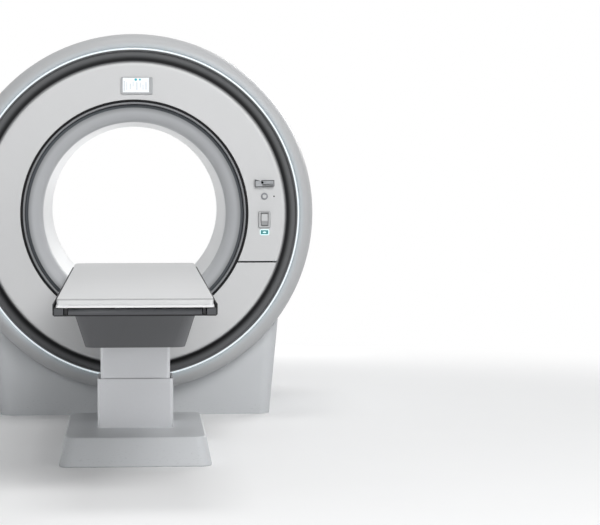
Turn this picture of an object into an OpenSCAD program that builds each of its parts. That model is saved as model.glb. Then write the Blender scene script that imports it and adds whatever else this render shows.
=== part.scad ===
// Whole-body MRI scanner: a ring-shaped gantry with a patient bore, and a patient table on a lifting
// pedestal. Millimetres. The origin is on the floor below the middle of the bore, +Z is up, +Y runs from the
// table side through the bore to the rear, and +X is on the right of someone who faces the bore from the
// table. Ring profiles are drawn as [radius, depth behind the front face, or in front of the rear face].

/* [Bore and front rings] */
// Diameter of the patient bore at its front end
bore_d = 800; // [720:5:880]
// Radius that the bore loses from its front end to its rear end
bore_taper = 9; // [0:1:20]
// Radial width of the bell-shaped front flare
flare_w = 63; // [45:1:80]
// Radial width of the dark recess outside the flare
recess_w = 15; // [8:1:25]
// Radial width of the grey trim bead
trim_w = 9; // [6:0.5:16]
// Radial width of the black gasket around the face plate's opening
gasket_w = 11; // [6:0.5:18]
// Radial width of the flat face plate, with its rounded edge
face_w = 163; // [145:1:190]
// Radial width of the dark groove between the face plate and the light ring
channel_w = 55; // [35:1:75]
// Radial width of the light ring
light_w = 9; // [5:0.5:15]
// Radial width of the outer cover's convex front shoulder
shoulder_w = 65; // [45:1:90]

/* [Gantry depths] */
// Depth of the covered gantry from front face to rear face
gantry_l = 1050; // [950:10:1300]
// Depth of the face plate's pan, down to the floor of the groove
face_depth = 60; // [45:1:75]
// Radius of the face plate's rounded outer edge
face_edge_r = 16; // [8:1:24]
// Depth of the front edge of the outer cover, where its shoulder begins
shoulder_d0 = 46; // [36:1:50]
// Depth over which the shoulder curves back to full diameter
shoulder_l = 92; // [60:1:110]
// Depth from a face of the gantry to the magnet vessel inside
magnet_inset = 150; // [142:1:170]
// Depth at the rear over which the bore opens out again
rear_flare_l = 121; // [90:1:140]
// Radial width of the rear flare
rear_flare_w = 60; // [40:1:80]
// Radial width of the rear cover's shoulder
rear_shoulder_w = 90; // [60:1:120]
// Depth over which the rear cover's shoulder curves
rear_shoulder_l = 138; // [90:1:150]
// Depth of the rear face plate's pan
rear_pan_depth = 50; // [30:1:70]

/* [Walls and gaps] */
// Wall of the moulded covers, the face plates and the flares
cover_t = 5; // [4:0.5:7]
// Wall of the bore liner
liner_t = 4; // [3:0.5:6]
// Thickness of the dark carrier that holds the front rings
carrier_t = 6; // [4:0.5:10]
// Gap between pieces that seat in or beside each other
seat_gap = 0.3; // [0.2:0.05:0.4]
// Open joint between the front cover and the rear cover
cover_joint = 3; // [1:0.5:6]
// Width of the dark seam between the face plate and its service panel
seam_w = 7; // [3:0.5:10]
// Drop of the seam below the bore axis
seam_drop = 213; // [190:1:240]

/* [Heights and foot] */
// Height of the bore axis above the floor
axis_h = 900; // [880:5:960]
// Half-width of the moulded foot at the floor
foot_bottom_hw = 600; // [560:5:640]
// Half-width of the moulded foot at its top
foot_top_hw = 640; // [600:5:680]
// Depth of the foot's front wall behind the gantry's front face
foot_inset = 150; // [140:5:200]
// Depth of the foot's rear wall in front of the gantry's rear face
foot_rear_inset = 60; // [40:5:120]
// Corner radius of the foot in plan
foot_corner_r = 60; // [30:5:90]
// Thickness of the floor plates
floor_plate_t = 20; // [15:1:30]
// Half-width of the gantry's floor plate
frame_hw = 480; // [440:5:520]
// Half-length of the gantry's floor plate
frame_hl = 290; // [260:5:320]
// Distance of each anchor hole from the floor plate's long edge and end
anchor_edge = 55; // [40:5:80]
// Diameter of the gantry's anchor holes
anchor_d = 18; // [14:1:24]
// Thickness of each magnet saddle
saddle_t = 40; // [30:1:60]
// Half-width of the magnet saddles
saddle_hw = 420; // [380:5:460]

/* [Magnet and coils] */
// Space between the outer cover and the magnet vessel
cover_space = 95; // [88:1:110]
// Space between the bore radius at the front and the vessel's warm bore
bore_space = 70; // [60:1:80]
// Wall of the vessel's shells
vessel_t = 10; // [8:1:14]
// Thickness of the vessel's end plates
vessel_end_t = 14; // [10:1:20]
// Radial thickness of the coil former's tube
former_t = 20; // [12:1:25]
// Radial height of the coil former's flanges above its tube
former_flange_h = 55; // [40:1:65]
// Thickness of the coil former's flanges
former_flange_t = 8; // [5:1:12]
// Radial thickness of the superconducting coils
coil_t = 45; // [30:1:54]
// Number of superconducting coils
coil_n = 6; // [4:1:8]
// Radial thickness of the gradient coil
gradient_t = 54; // [44:1:56]
// Radial thickness of the copper conductors of the radio coil
rf_copper_t = 2.7; // [1.5:0.1:3]
// Number of rungs of the radio coil
rung_n = 16; // [8:2:24]
// Width of a rung
rung_w = 25; // [15:1:35]

/* [Display] */
// Width of the display housing
display_w = 138; // [120:1:150]
// Height of the display housing
display_h = 74; // [66:1:80]
// Width of the screen
screen_w = 115; // [95:1:118]
// Height of the screen
screen_h = 63; // [50:1:64]
// Distance from the bore gasket to the middle of the display
display_out = 60.5; // [58:0.5:64]
// Sideways offset of the display from the middle of the gantry
display_x = 11; // [-10:1:15]
// How far the display stands proud of the face plate
display_proud = 6; // [4:0.5:9]

/* [Face controls] */
// Distance from the face plate's inner edge to the column of controls, at the height of the axis
control_out = 70.5; // [66:0.5:74]
// Width of the handset holder
holder_w = 85; // [70:1:90]
// Height of the handset holder
holder_h = 30; // [26:1:34]
// How far the handset holder stands proud of the face plate
holder_proud = 14; // [10:1:20]
// Height of the handset holder above the axis
holder_z = 131; // [125:1:140]
// Bore diameter of the call-handset jack
jack_d = 6.4; // [5:0.1:7]
// Depth of the jack's bore
jack_depth = 15; // [10:1:18]
// Diameter of the round button's bezel
round_bezel_d = 31; // [28:1:34]
// Diameter of the round button
round_button_d = 17; // [13:0.5:20]
// Height of the round button above the axis
round_z = 75; // [70:1:80]
// Diameter of the indicator lamp
lamp_d = 6.4; // [4:0.2:8]
// Width of the table rocker's frame
rocker_frame_w = 52; // [44:1:56]
// Height of the table rocker's frame
rocker_frame_h = 72; // [68:1:76]
// Width of the rocker
rocker_w = 30; // [24:1:32]
// Height of the rocker
rocker_h = 53; // [46:1:54]
// Drop of the rocker's pivot below the axis
rocker_drop = 27; // [24:1:30]
// Diameter of the rocker's pivot pin
rocker_pin_d = 5; // [4:0.5:6]
// Width of the start button
start_w = 34; // [28:1:38]
// Height of the start button
start_h = 19; // [15:1:21]
// Drop of the start button below the axis
start_drop = 83; // [80:1:90]
// Travel of the push buttons
button_travel = 3; // [1.5:0.5:4]
// How far the controls' frames stand proud of the face plate
bezel_proud = 4; // [2:0.5:6]
// Depth of the controls' bodies behind the face plate's front
control_depth = 22; // [19:1:30]

/* [Tabletop] */
// Length of the tabletop
table_l = 2490; // [2300:10:2600]
// Drop of the tabletop's surface below the bore axis
table_drop = 215; // [200:1:225]
// Gap between the tabletop's lower edge and the bore wall
table_side_gap = 47; // [40:1:60]
// Gap between the tabletop's head end and the gantry's front face at rest
table_head_gap = 30; // [20:1:50]
// Thickness of the board
board_t = 23; // [18:1:28]
// Corner radius of the board at its head end
head_corner_r = 25; // [15:1:60]
// Corner radius of the board at its foot end
foot_end_corner_r = 12; // [8:1:30]
// Radius of the board's upper long edges
board_edge_r = 4; // [2:0.5:8]
// Height of the lower trim lip
trim_h = 7.5; // [5:0.5:10]
// How far the trim lip stands out beyond the board
trim_out = 3; // [1:0.5:5]
// Radial width of the trim's frame below the board
trim_frame_w = 18; // [12:1:22]
// Width of each runner below the board
runner_w = 10; // [7:0.5:12]
// Distance that the tabletop travels into the bore
table_travel = 1500; // [1300:10:1500]

/* [Table tray] */
// Gap between the tabletop's trim and the tray
tray_gap = 3.5; // [2:0.5:6]
// Height of the tray
tray_h = 24.5; // [22:0.5:30]
// Width of each side rail of the tray
side_rail_w = 35; // [30:1:40]
// Width of the slots in which the runners slide
slot_w = 16; // [14:1:18]
// Gap between the tabletop's trim and the tray's upturned lip
lip_gap = 5.6; // [3:0.2:8]
// Thickness of the upturned lip
lip_t = 4.8; // [3:0.2:6]
// Height of the upturned lip above the tray
lip_h = 18; // [8:1:22]
// Radius of the tray's lower long edges
tray_edge_r = 8; // [4:0.5:10]
// Wall of the tray's middle pan
pan_t = 3; // [2:0.5:4]
// Thickness of the slots' floor with its glide strip
slot_floor_t = 4.2; // [3:0.2:6]
// Thickness of the tray's end caps
end_cap_t = 6; // [3:1:10]
// Distance from the gantry's front face to the tray's head end
tray_head_gap = 45; // [40:1:60]

/* [Table drive] */
// Radius of the drive pulley and of the idler pulley
pulley_r = 60; // [50:1:70]
// How far the pulleys' flanges reach beyond the belt's inner face
flange_out = 5.7; // [4:0.1:8]
// Height of the belt
belt_h = 12; // [10:0.5:13]
// Thickness of the belt
belt_t = 2.4; // [1.5:0.1:4]
// Thickness of the pulleys' flanges
flange_t = 1.7; // [1:0.1:2]
// Diameter of the pulleys' shafts
shaft_d = 12; // [8:1:16]
// Radius of the table drive motor
motor_r = 35; // [28:1:45]
// Length of the table drive motor
motor_l = 60; // [45:1:90]
// Length of the belt clamp along the belt
clamp_l = 40; // [25:1:60]
// Thickness of each jaw of the belt clamp
clamp_jaw_t = 6; // [4:0.5:9]

/* [Pedestal and lift] */
// Distance that the table can be lowered
lift_travel = 240; // [200:5:260]
// Distance from the tabletop's foot end to the pedestal head
pedestal_setback = 920; // [850:10:1000]
// How far the pedestal head reaches past the drive pulley's axis
pedestal_over = 120; // [100:5:150]
// Half-width of the pedestal head at its top
pedestal_top_hw = 243; // [225:1:250]
// Height of the pedestal head
pedestal_h = 186; // [160:1:200]
// How far each side of the pedestal head leans in over its height
pedestal_lean = 58; // [40:1:65]
// Corner radius of the pedestal head
pedestal_corner_r = 45; // [30:1:60]
// Thickness of the steel plate under the head's top
head_plate_t = 12; // [8:1:16]
// Half-width of the steel head plate
top_plate_hw = 182; // [165:1:190]
// Width of the column's lower tube, across the table
column_w = 290; // [270:1:300]
// Length of the column's lower tube in plan, along the table
column_l = 240; // [220:1:260]
// Wall of the column tubes
column_t = 8; // [6:0.5:10]
// Gap between one column tube and the next
column_gap = 4; // [3:0.5:6]
// Height of the bearing collar at the foot of each sliding tube
collar_h = 40; // [30:1:50]
// Height that the lowered table leaves above the column's lower tube
column_headroom = 70; // [50:1:80]
// Outer radius of the lift cylinder
cylinder_r = 40; // [36:1:46]
// Wall of the lift cylinder and of its telescopic stage
cylinder_t = 6; // [5:0.5:8]

/* [Table foot] */
// Half-width of the table's floor plate
base_plate_hw = 250; // [235:1:255]
// Half-length of the table's floor plate
base_plate_hl = 400; // [380:5:405]
// Diameter of the table foot's anchor holes
table_anchor_d = 14; // [12:1:18]
// Height of the moulded cover over the table's foot
base_cover_h = 110; // [90:1:130]
// How far the foot cover reaches beyond the floor plate at the floor
base_cover_out = 35; // [30:1:45]
// How far the foot cover leans in over its height
base_cover_lean = 22; // [10:1:26]
// Half-width of the cable duct on the floor
duct_hw = 140; // [100:5:200]
// Height of the cable duct
duct_h = 55; // [40:1:80]
// Wall of the cable duct
duct_t = 4; // [3:0.5:6]

/* [Rear vent] */
// Width of the rear vent grille
vent_w = 300; // [240:5:320]
// Height of the rear vent grille
vent_h = 90; // [70:2:100]
// Distance from the rear flare to the middle of the vent
vent_out = 124; // [110:1:135]
// Number of slots in the vent grille
vent_n = 7; // [4:1:9]
// Share of the vent's pitch that a slot takes
vent_open = 0.55; // [0.4:0.05:0.7]

/* [Hidden] */
ring_fn = 144;
small_fn = 48;
taper_fn = 32;
curve_n = 12;
corner_n = 8;
edge_n = 4;

bore_r = bore_d / 2;
flare_r = bore_r + flare_w;
recess_r = flare_r + recess_w;
trim_r = recess_r + trim_w;
gasket_r = trim_r + gasket_w;
face_r = gasket_r + face_w;
channel_r = face_r + channel_w;
light_r = channel_r + light_w;
cover_r = light_r + shoulder_w;
shell_inner_r = cover_r - cover_t;

front_y = -gantry_l / 2;
rear_y = gantry_l / 2;
liner_d0 = face_depth;
liner_d1 = gantry_l - rear_flare_l;
bore_rear_r = bore_r - bore_taper;
rear_flare_r = bore_rear_r + rear_flare_w;
rear_edge_r = cover_r - rear_shoulder_w;
shoulder_nose = 8;
light_proud = 12;
light_d0 = face_depth - light_proud;
light_bevel = 2;
recess_depth = 14;
flare_lip = 4;
flare_run = 0.62;
flare_dip = 0.14;
flare_turn = 0.36;
channel_wall_t = 4.7;
channel_wall_h = 10;
bead_proud = 3;
rabbet_l = 14;

vessel_r = shell_inner_r - cover_space;
vessel_bore_r = bore_r + bore_space;
vessel_d0 = magnet_inset;
vessel_d1 = gantry_l - magnet_inset;
former_space = 20;
former_r0 = vessel_bore_r + vessel_t + former_space;
former_r1 = former_r0 + former_t;
former_end_gap = 36;
former_d0 = vessel_d0 + former_end_gap;
former_d1 = vessel_d1 - former_end_gap;
gradient_r1 = vessel_bore_r - seat_gap;
gradient_r0 = gradient_r1 - gradient_t;
gradient_end_gap = 20;
gradient_d0 = vessel_d0 + gradient_end_gap;
gradient_d1 = vessel_d1 - gradient_end_gap;
rf_former_space = 1;
rf_former_r0 = bore_r + liner_t + rf_former_space;
rf_former_t = 3;
rf_end_w = 10;
rf_end_gap = 12;
rf_ring_w = 50;
rf_d0 = gradient_d0 + rf_end_gap;
rf_d1 = gradient_d1 - rf_end_gap;
rf_r0 = rf_former_r0 + rf_former_t + seat_gap;

foot_y0 = front_y + foot_inset;
foot_y1 = rear_y - foot_rear_inset;
foot_lip = 12;
foot_ring_r = cover_r + seat_gap;
foot_h = axis_h - sqrt(pow(foot_ring_r, 2) - pow(foot_top_hw - foot_lip, 2));
saddle_y = frame_hl - saddle_t;
saddle_top = axis_h - sqrt(pow(vessel_r, 2) - pow(saddle_hw, 2));
frame_clear = 10;

control_x = gasket_r + control_out;
display_z = gasket_r + display_out;
lamp_aside = 42;
lamp_x = control_x + lamp_aside;
jack_aside = 10;
jack_up = 4;
jack_x = control_x - jack_aside;
jack_z = holder_z + jack_up;
jack_wall = 1.8;
jack_r = jack_d / 2 + jack_wall;
jack_proud = 1;
body_gap = 0.5;
body_corner_r = 2.5;
plate_corner_r = 5;
key_corner_r = 2;
screen_sunk = 1;
display_body_in = 6.5;
holder_body_in = 4;
holder_notch = 3;
holder_horn = 3;
rocker_body_in = 4.5;
rocker_side_gap = 0.8;
rocker_end_gap = 1.3;
rocker_pin_in = 2;
rocker_pin_in_frame = 4;
rocker_pin_l = rocker_w + 2 * rocker_pin_in_frame;
start_rim = 3;
start_body_in = 1.9;
bezel_rim = 3;
button_proud = 1;
button_spare = 1;
control_end_t = 4;
lamp_proud = 1.5;
screen_dx = -4;
screen_dz = 2.5;

table_z = axis_h - table_drop;
board_b = table_z - board_t;
trim_b = board_b - trim_h;
tray_top = trim_b - tray_gap;
tray_b = tray_top - tray_h;
runner_b = tray_b + slot_floor_t + seat_gap;
bridge_top = runner_b - seat_gap;
bridge_t = 8;
trim_hw = sqrt(pow(bore_rear_r, 2) - pow(axis_h - trim_b, 2)) - table_side_gap + trim_out;
board_hw = trim_hw - trim_out;
tray_hw = trim_hw + lip_gap + lip_t;
runner_x = tray_hw - side_rail_w - slot_w / 2;
slot_in = runner_x - slot_w / 2;
slot_out = runner_x + slot_w / 2;
head_y = front_y - table_head_gap;
foot_end_y = head_y - table_l;
tray_y0 = foot_end_y + end_cap_t;
tray_y1 = front_y - tray_head_gap - end_cap_t;
runner_end_gap = 22;

belt_r = pulley_r + seat_gap;
flange_r = belt_r + flange_out;
belt_lift = 3;
belt_z0 = tray_b + pan_t + flange_t + belt_lift;
flange_z0 = belt_z0 - seat_gap - flange_t;
pulley_top = belt_z0 + belt_h + seat_gap + flange_t;
shaft_r = shaft_d / 2;
shaft_run = 0.05;
shaft_clear = 1.5;
shaft_in_motor = 10;
motor_bore = 12;
clamp_in = belt_r - seat_gap - clamp_jaw_t;
clamp_out = belt_r + belt_t + seat_gap + clamp_jaw_t;
clamp_spare = 2;
clamp_reach = sqrt(pow(flange_r, 2) - pow(clamp_in, 2)) + clamp_l / 2 + clamp_spare;
idler_space = 4;
idler_y = tray_y0 + pan_t + flange_r + idler_space;
clamp_y = idler_y + clamp_reach;
drive_y = clamp_y + table_travel + clamp_reach;

head_top = tray_b;
head_skin_t = 6;
head_plate_z1 = head_top - head_skin_t;
head_plate_z0 = head_plate_z1 - head_plate_t;
ped_y0 = foot_end_y + pedestal_setback;
ped_y1 = drive_y + pedestal_over;
ped_c = (ped_y0 + ped_y1) / 2;
ped_hl = (ped_y1 - ped_y0) / 2;
motor_space = 15;
head_plate_hl = drive_y - motor_r - motor_space - ped_c;
closed_h = head_plate_z0 - floor_plate_t - lift_travel;
lower_len = closed_h - column_headroom;
middle_up = 25;
middle_short = 15;
middle_len = lower_len - middle_short;
middle_z0 = floor_plate_t + middle_up + lift_travel / 2;
upper_up = 32;
upper_z0 = floor_plate_t + upper_up + lift_travel;
step_in = column_t + column_gap;
column_corner_r = 14;
column_bore_r = 8;
stage_r = cylinder_r - cylinder_t - seat_gap;
rod_r = stage_r - cylinder_t - seat_gap;
cylinder_short = 30;
cylinder_len = lower_len - cylinder_short;
stage_below = 10;
stage_short = 25;

vent_z = rear_flare_r + vent_out;
vent_rim = 10;
vent_corner_r = 6;
base_cover_hw = base_plate_hw + base_cover_out;
base_cover_hl = base_plate_hl + base_cover_out;

eps = 1;

function arc(c, rx, ry, a0, a1, n = curve_n) =
    [for (i = [0:n]) let (a = a0 + (a1 - a0) * i / n) [c[0] + rx * cos(a), c[1] + ry * sin(a)]];

// Cubic curve through four control points
function bezier(a, b, c, d, n = curve_n) =
    [for (i = [0:n]) let (t = i / n, s = 1 - t)
        s * s * s * a + 3 * s * s * t * b + 3 * s * t * t * c + t * t * t * d];

function backwards(pts) = [for (i = [len(pts) - 1:-1:0]) pts[i]];

// Path moved sideways by t, to the left of its direction for a positive t
function unit(v) = v / norm(v);
function sideways(pts, t) = [for (i = [0:len(pts) - 1])
    let (v = unit(pts[min(i + 1, len(pts) - 1)] - pts[max(i - 1, 0)])) pts[i] + t * [-v[1], v[0]]];

function rounded_box(w, h, r) = concat(
    arc([w / 2 - r, h / 2 - r], r, r, 0, 90, corner_n),
    arc([-w / 2 + r, h / 2 - r], r, r, 90, 180, corner_n),
    arc([-w / 2 + r, -h / 2 + r], r, r, 180, 270, corner_n),
    arc([w / 2 - r, -h / 2 + r], r, r, 270, 360, corner_n));

// Revolves a profile of [radius, depth behind the front face] about the bore axis
module front_ring(profile) {
    translate([0, front_y, axis_h]) rotate([-90, 0, 0])
        rotate_extrude($fn = ring_fn) polygon(profile);
}

// Revolves a profile of [radius, depth in front of the rear face] about the bore axis
module rear_ring(profile) {
    translate([0, rear_y, axis_h]) rotate([90, 0, 0])
        rotate_extrude($fn = ring_fn) polygon(profile);
}

function band(r0, r1, d0, d1) = [[r0, d0], [r1, d0], [r1, d1], [r0, d1]];

// Extrudes an outline drawn in X and Z from y0 to y1
module along_y(y0, y1) {
    translate([0, y1, 0]) rotate([90, 0, 0]) linear_extrude(y1 - y0) children();
}

// Rounded plate on the face panel, from d0 to d1 behind its front, centred at x and z above the axis
module face_plate(x, z, w, h, d0, d1, r) {
    translate([x, 0, axis_h + z]) along_y(front_y + d0, front_y + d1) polygon(rounded_box(w, h, r));
}

// Body of a control that reaches through the face plate, inset from the outline of the frame in front of it
module face_body(x, z, w, h, inset, depth) {
    face_plate(x, z, w - 2 * inset, h - 2 * inset, -eps, depth, body_corner_r);
}

// Hole in the face plate for such a body
module face_hole(x, z, w, h, inset) {
    face_plate(x, z, w - 2 * (inset - body_gap), h - 2 * (inset - body_gap), -eps, cover_t + eps,
        body_corner_r + body_gap);
}

module face_rod(x, z, r, d0, d1) {
    translate([x, front_y + d0, axis_h + z]) rotate([-90, 0, 0]) cylinder(r = r, h = d1 - d0, $fn = small_fn);
}

// Gantry covers

// Front face plate as a full pan of wall inset i from its visible surface
module face_block(i) {
    front_ring(concat(
        [[gasket_r + i, face_depth + (i > 0 ? eps : 0)], [gasket_r + i, i]],
        arc([face_r - face_edge_r, face_edge_r], face_edge_r - i, face_edge_r - i, -90, 0, corner_n),
        [[face_r - i, face_depth + (i > 0 ? eps : 0)]]));
}

// Quarter of the face below the seam and right of the middle, set back by g from the seam's centre line
module service_quarter(g) {
    translate([g, front_y - eps, axis_h - seam_drop - g - cover_r])
        cube([cover_r, face_depth + 3 * eps, cover_r]);
}

module front_face_panel() {
    color("gainsboro") difference() {
        face_block(0);
        service_quarter(-seam_w / 2);
        difference() {
            face_block(cover_t);
            service_quarter(-seam_w / 2 - cover_t);
        }
        face_hole(display_x, display_z, display_w, display_h, display_body_in);
        face_hole(control_x, holder_z, holder_w, holder_h, holder_body_in);
        face_rod(control_x, round_z, round_bezel_d / 2 - bezel_rim, -eps, cover_t + eps);
        face_rod(lamp_x, round_z, lamp_d / 2 + seat_gap, -eps, cover_t + eps);
        face_hole(control_x, -rocker_drop, rocker_frame_w, rocker_frame_h, rocker_body_in);
        face_hole(control_x, -start_drop, start_w + 2 * start_rim, start_h + 2 * start_rim, start_body_in);
    }
}

module front_service_panel() {
    color("gainsboro") difference() {
        intersection() {
            face_block(0);
            service_quarter(seam_w / 2);
        }
        intersection() {
            face_block(cover_t);
            service_quarter(seam_w / 2 + cover_t);
        }
    }
}

module front_carrier_ring() {
    color("dimgray") front_ring([
        [flare_r - cover_t, face_depth], [channel_r - channel_wall_t, face_depth],
        [channel_r - channel_wall_t, face_depth - channel_wall_h],
        [channel_r - seat_gap, face_depth - channel_wall_h], [channel_r - seat_gap, face_depth],
        [light_r, face_depth], [light_r, face_depth + carrier_t],
        [flare_r - cover_t, face_depth + carrier_t]]);
}

module front_light_ring() {
    color("white") front_ring(concat(
        [[channel_r, face_depth]],
        [[channel_r, light_d0 + light_bevel], [channel_r + light_bevel, light_d0],
            [light_r - light_bevel, light_d0], [light_r, light_d0 + light_bevel]],
        [[light_r, face_depth]]));
}

module bore_gasket() {
    top = 1;
    side = 3;
    bevel = 2;
    color("black") front_ring([
        [trim_r + seat_gap, face_depth], [trim_r + seat_gap, side], [trim_r + bevel, top],
        [gasket_r - bevel, top], [gasket_r - seat_gap, side], [gasket_r - seat_gap, face_depth]]);
}

module bore_trim_ring() {
    color("darkgray") front_ring(concat(
        [[recess_r, face_depth]],
        arc([recess_r + trim_w / 2, bead_proud], trim_w / 2, 2 * bead_proud, -180, 0),
        [[trim_r, face_depth]]));
}

module bore_recess_ring() {
    color("darkslategray")
        front_ring(band(flare_r + seat_gap, recess_r - seat_gap, recess_depth, face_depth));
}

// Bell mouth from a rim at the flare radius to the bore, as the path that is seen
function flare_path(r_bore, r_rim, l, lip) = bezier([r_rim, lip],
    [r_rim - flare_run * (r_rim - r_bore), lip + flare_dip * l], [r_bore, lip + flare_turn * l], [r_bore, l]);

// Section of a flare with its wall and the rim that seats at depth d
function flare_section(r_bore, r_rim, l, lip, d) = let (path = flare_path(r_bore, r_rim, l, lip)) concat(
    [[r_rim, d]], path,
    backwards([for (p = sideways(path, -cover_t)) if (p[0] < r_rim - cover_t - eps) [p[0], min(p[1], l)]]),
    [[r_rim - cover_t, lip + 2 * cover_t], [r_rim - cover_t, d]]);

module front_flare() {
    color("silver") front_ring(flare_section(bore_r, flare_r, face_depth, flare_lip, face_depth));
}

module bore_liner() {
    color("whitesmoke") front_ring([
        [bore_r, liner_d0], [bore_r + liner_t, liner_d0],
        [bore_rear_r + liner_t, liner_d1], [bore_rear_r, liner_d1]]);
}

module rear_flare() {
    color("silver")
        rear_ring(flare_section(bore_rear_r, rear_flare_r, rear_flare_l, flare_lip, rear_pan_depth));
}

// Opening in the covers through which the frame carries the magnet
module frame_opening() {
    hw = saddle_hw + frame_clear;
    hl = saddle_y + saddle_t + frame_clear;
    translate([-hw, -hl, -eps]) cube([2 * hw, 2 * hl, saddle_top + frame_clear + eps]);
}

module outer_cover_front() {
    nose_r = light_r + seat_gap;
    path = arc([nose_r + shoulder_nose, shoulder_d0 + shoulder_l],
        cover_r - nose_r - shoulder_nose, shoulder_l, -90, 0);
    nose = arc([nose_r + shoulder_nose, shoulder_d0 + shoulder_nose], shoulder_nose, shoulder_nose,
        -180, -90, corner_n);
    color("lightgray") difference() {
        front_ring(concat(
            [[nose_r, face_depth + carrier_t]], nose, path,
            [[cover_r, gantry_l / 2 - cover_joint / 2], [shell_inner_r, gantry_l / 2 - cover_joint / 2]],
            backwards(sideways(path, cover_t)),
            [[nose_r + cover_t, shoulder_d0 + shoulder_nose], [nose_r + cover_t, face_depth + carrier_t]]));
        frame_opening();
    }
}

module outer_cover_rear() {
    path = arc([rear_edge_r, rear_shoulder_l], cover_r - rear_edge_r, rear_shoulder_l, -90, 0);
    mid = gantry_l / 2 - cover_joint / 2;
    tongue = mid + cover_joint + rabbet_l;
    color("lightgray") difference() {
        rear_ring(concat(
            [[rear_edge_r, rear_pan_depth], [rear_edge_r, 0]], path,
            [[cover_r, mid], [shell_inner_r - seat_gap, mid], [shell_inner_r - seat_gap, tongue],
                [shell_inner_r - cover_t, tongue], [shell_inner_r - cover_t, mid - rabbet_l],
                [shell_inner_r, mid - rabbet_l]],
            backwards([for (p = sideways(path, cover_t)) if (p[0] > rear_edge_r + cover_t) p]),
            [[rear_edge_r + cover_t, cover_t], [rear_edge_r + cover_t, rear_pan_depth]]));
        frame_opening();
    }
}

module rear_face_panel() {
    bevel = 3;
    r0 = rear_flare_r + seat_gap;
    r1 = rear_edge_r - seat_gap;
    color("gainsboro") difference() {
        rear_ring([
            [r0, rear_pan_depth], [r0, bevel], [r0 + bevel, 0], [r1 - bevel, 0], [r1, bevel],
            [r1, rear_pan_depth], [r1 - cover_t, rear_pan_depth], [r1 - cover_t, cover_t],
            [r0 + cover_t, cover_t], [r0 + cover_t, rear_pan_depth]]);
        translate([0, 0, axis_h + vent_z]) along_y(rear_y - cover_t - eps, rear_y + eps)
            polygon(rounded_box(vent_w - 2 * vent_rim, vent_h - 2 * vent_rim, vent_corner_r));
    }
}

module rear_vent_grille() {
    plate_t = 3;
    body_w = vent_w - 2 * (vent_rim + body_gap);
    body_h = vent_h - 2 * (vent_rim + body_gap);
    field_w = vent_w - 4 * vent_rim;
    pitch = (vent_h - 3 * vent_rim) / vent_n;
    slot_h = vent_open * pitch;
    color("gray") translate([0, 0, axis_h + vent_z]) difference() {
        union() {
            along_y(rear_y, rear_y + plate_t) polygon(rounded_box(vent_w, vent_h, vent_rim));
            along_y(rear_y - cover_t, rear_y)
                polygon(rounded_box(body_w, body_h, vent_corner_r - body_gap));
        }
        for (i = [0:vent_n - 1])
            translate([-field_w / 2, rear_y - cover_t - eps, (i - (vent_n - 1) / 2) * pitch - slot_h / 2])
                cube([field_w, cover_t + plate_t + 2 * eps, slot_h]);
    }
}

// Moulded foot as a block of wall inset i
module foot_block(i) {
    difference() {
        intersection() {
            along_y(foot_y0 + i, foot_y1 - i) polygon([
                [-foot_bottom_hw + i, i > 0 ? -eps : 0], [foot_bottom_hw - i, i > 0 ? -eps : 0],
                [foot_top_hw - i, foot_h], [-foot_top_hw + i, foot_h]]);
            translate([0, (foot_y0 + foot_y1) / 2, -2 * eps]) linear_extrude(foot_h + 2 * eps)
                polygon(rounded_box(2 * (foot_top_hw - i), foot_y1 - foot_y0 - 2 * i, foot_corner_r - i));
        }
        translate([0, 0, axis_h]) rotate([90, 0, 0])
            cylinder(r = foot_ring_r + i, h = 2 * gantry_l, center = true, $fn = ring_fn);
    }
}

module base_cover() {
    color("silver") difference() {
        foot_block(0);
        foot_block(cover_t);
        frame_opening();
    }
}

module gantry_frame() {
    beam_w = 90;
    beam_h = 80;
    beam_x = 0.6 * saddle_hw;
    color("slategray") difference() {
        union() {
            translate([-frame_hw, -frame_hl, 0]) cube([2 * frame_hw, 2 * frame_hl, floor_plate_t]);
            for (sy = [-1, 1])
                translate([-saddle_hw, sy * (saddle_y - saddle_t / 2) - saddle_t / 2, floor_plate_t])
                    cube([2 * saddle_hw, saddle_t, saddle_top - floor_plate_t]);
            for (sx = [-1, 1])
                translate([sx * beam_x - beam_w / 2, -saddle_y + saddle_t, floor_plate_t])
                    cube([beam_w, 2 * (saddle_y - saddle_t), beam_h]);
        }
        translate([0, 0, axis_h]) rotate([90, 0, 0])
            cylinder(r = vessel_r + seat_gap, h = gantry_l, center = true, $fn = ring_fn);
        for (sx = [-1, 1], sy = [-1, 1])
            translate([sx * (frame_hw - anchor_edge / 2), sy * (frame_hl - anchor_edge), -eps])
                cylinder(d = anchor_d, h = floor_plate_t + 2 * eps, $fn = small_fn);
    }
}

// Magnet and coils

module magnet_vessel() {
    color("lightsteelblue") difference() {
        front_ring(band(vessel_bore_r, vessel_r, vessel_d0, vessel_d1));
        front_ring(band(vessel_bore_r + vessel_t, vessel_r - vessel_t,
            vessel_d0 + vessel_end_t, vessel_d1 - vessel_end_t));
    }
}

module coil_former() {
    pitch = (former_d1 - former_d0 - former_flange_t) / coil_n;
    strap_r = 8;
    strap_root = former_r1 + former_flange_h - strap_r;
    color("lightgray") {
        front_ring(band(former_r0, former_r1, former_d0, former_d1));
        for (i = [0:coil_n])
            front_ring(band(former_r1 - eps, former_r1 + former_flange_h,
                former_d0 + i * pitch, former_d0 + i * pitch + former_flange_t));
        for (d = [former_d0 + former_flange_t / 2, former_d1 - former_flange_t / 2], a = [45:90:315])
            translate([0, front_y + d, axis_h]) rotate([0, a, 0]) translate([0, 0, strap_root])
                cylinder(r = strap_r, h = vessel_r - vessel_t - seat_gap - strap_root, $fn = small_fn);
    }
}

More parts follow.
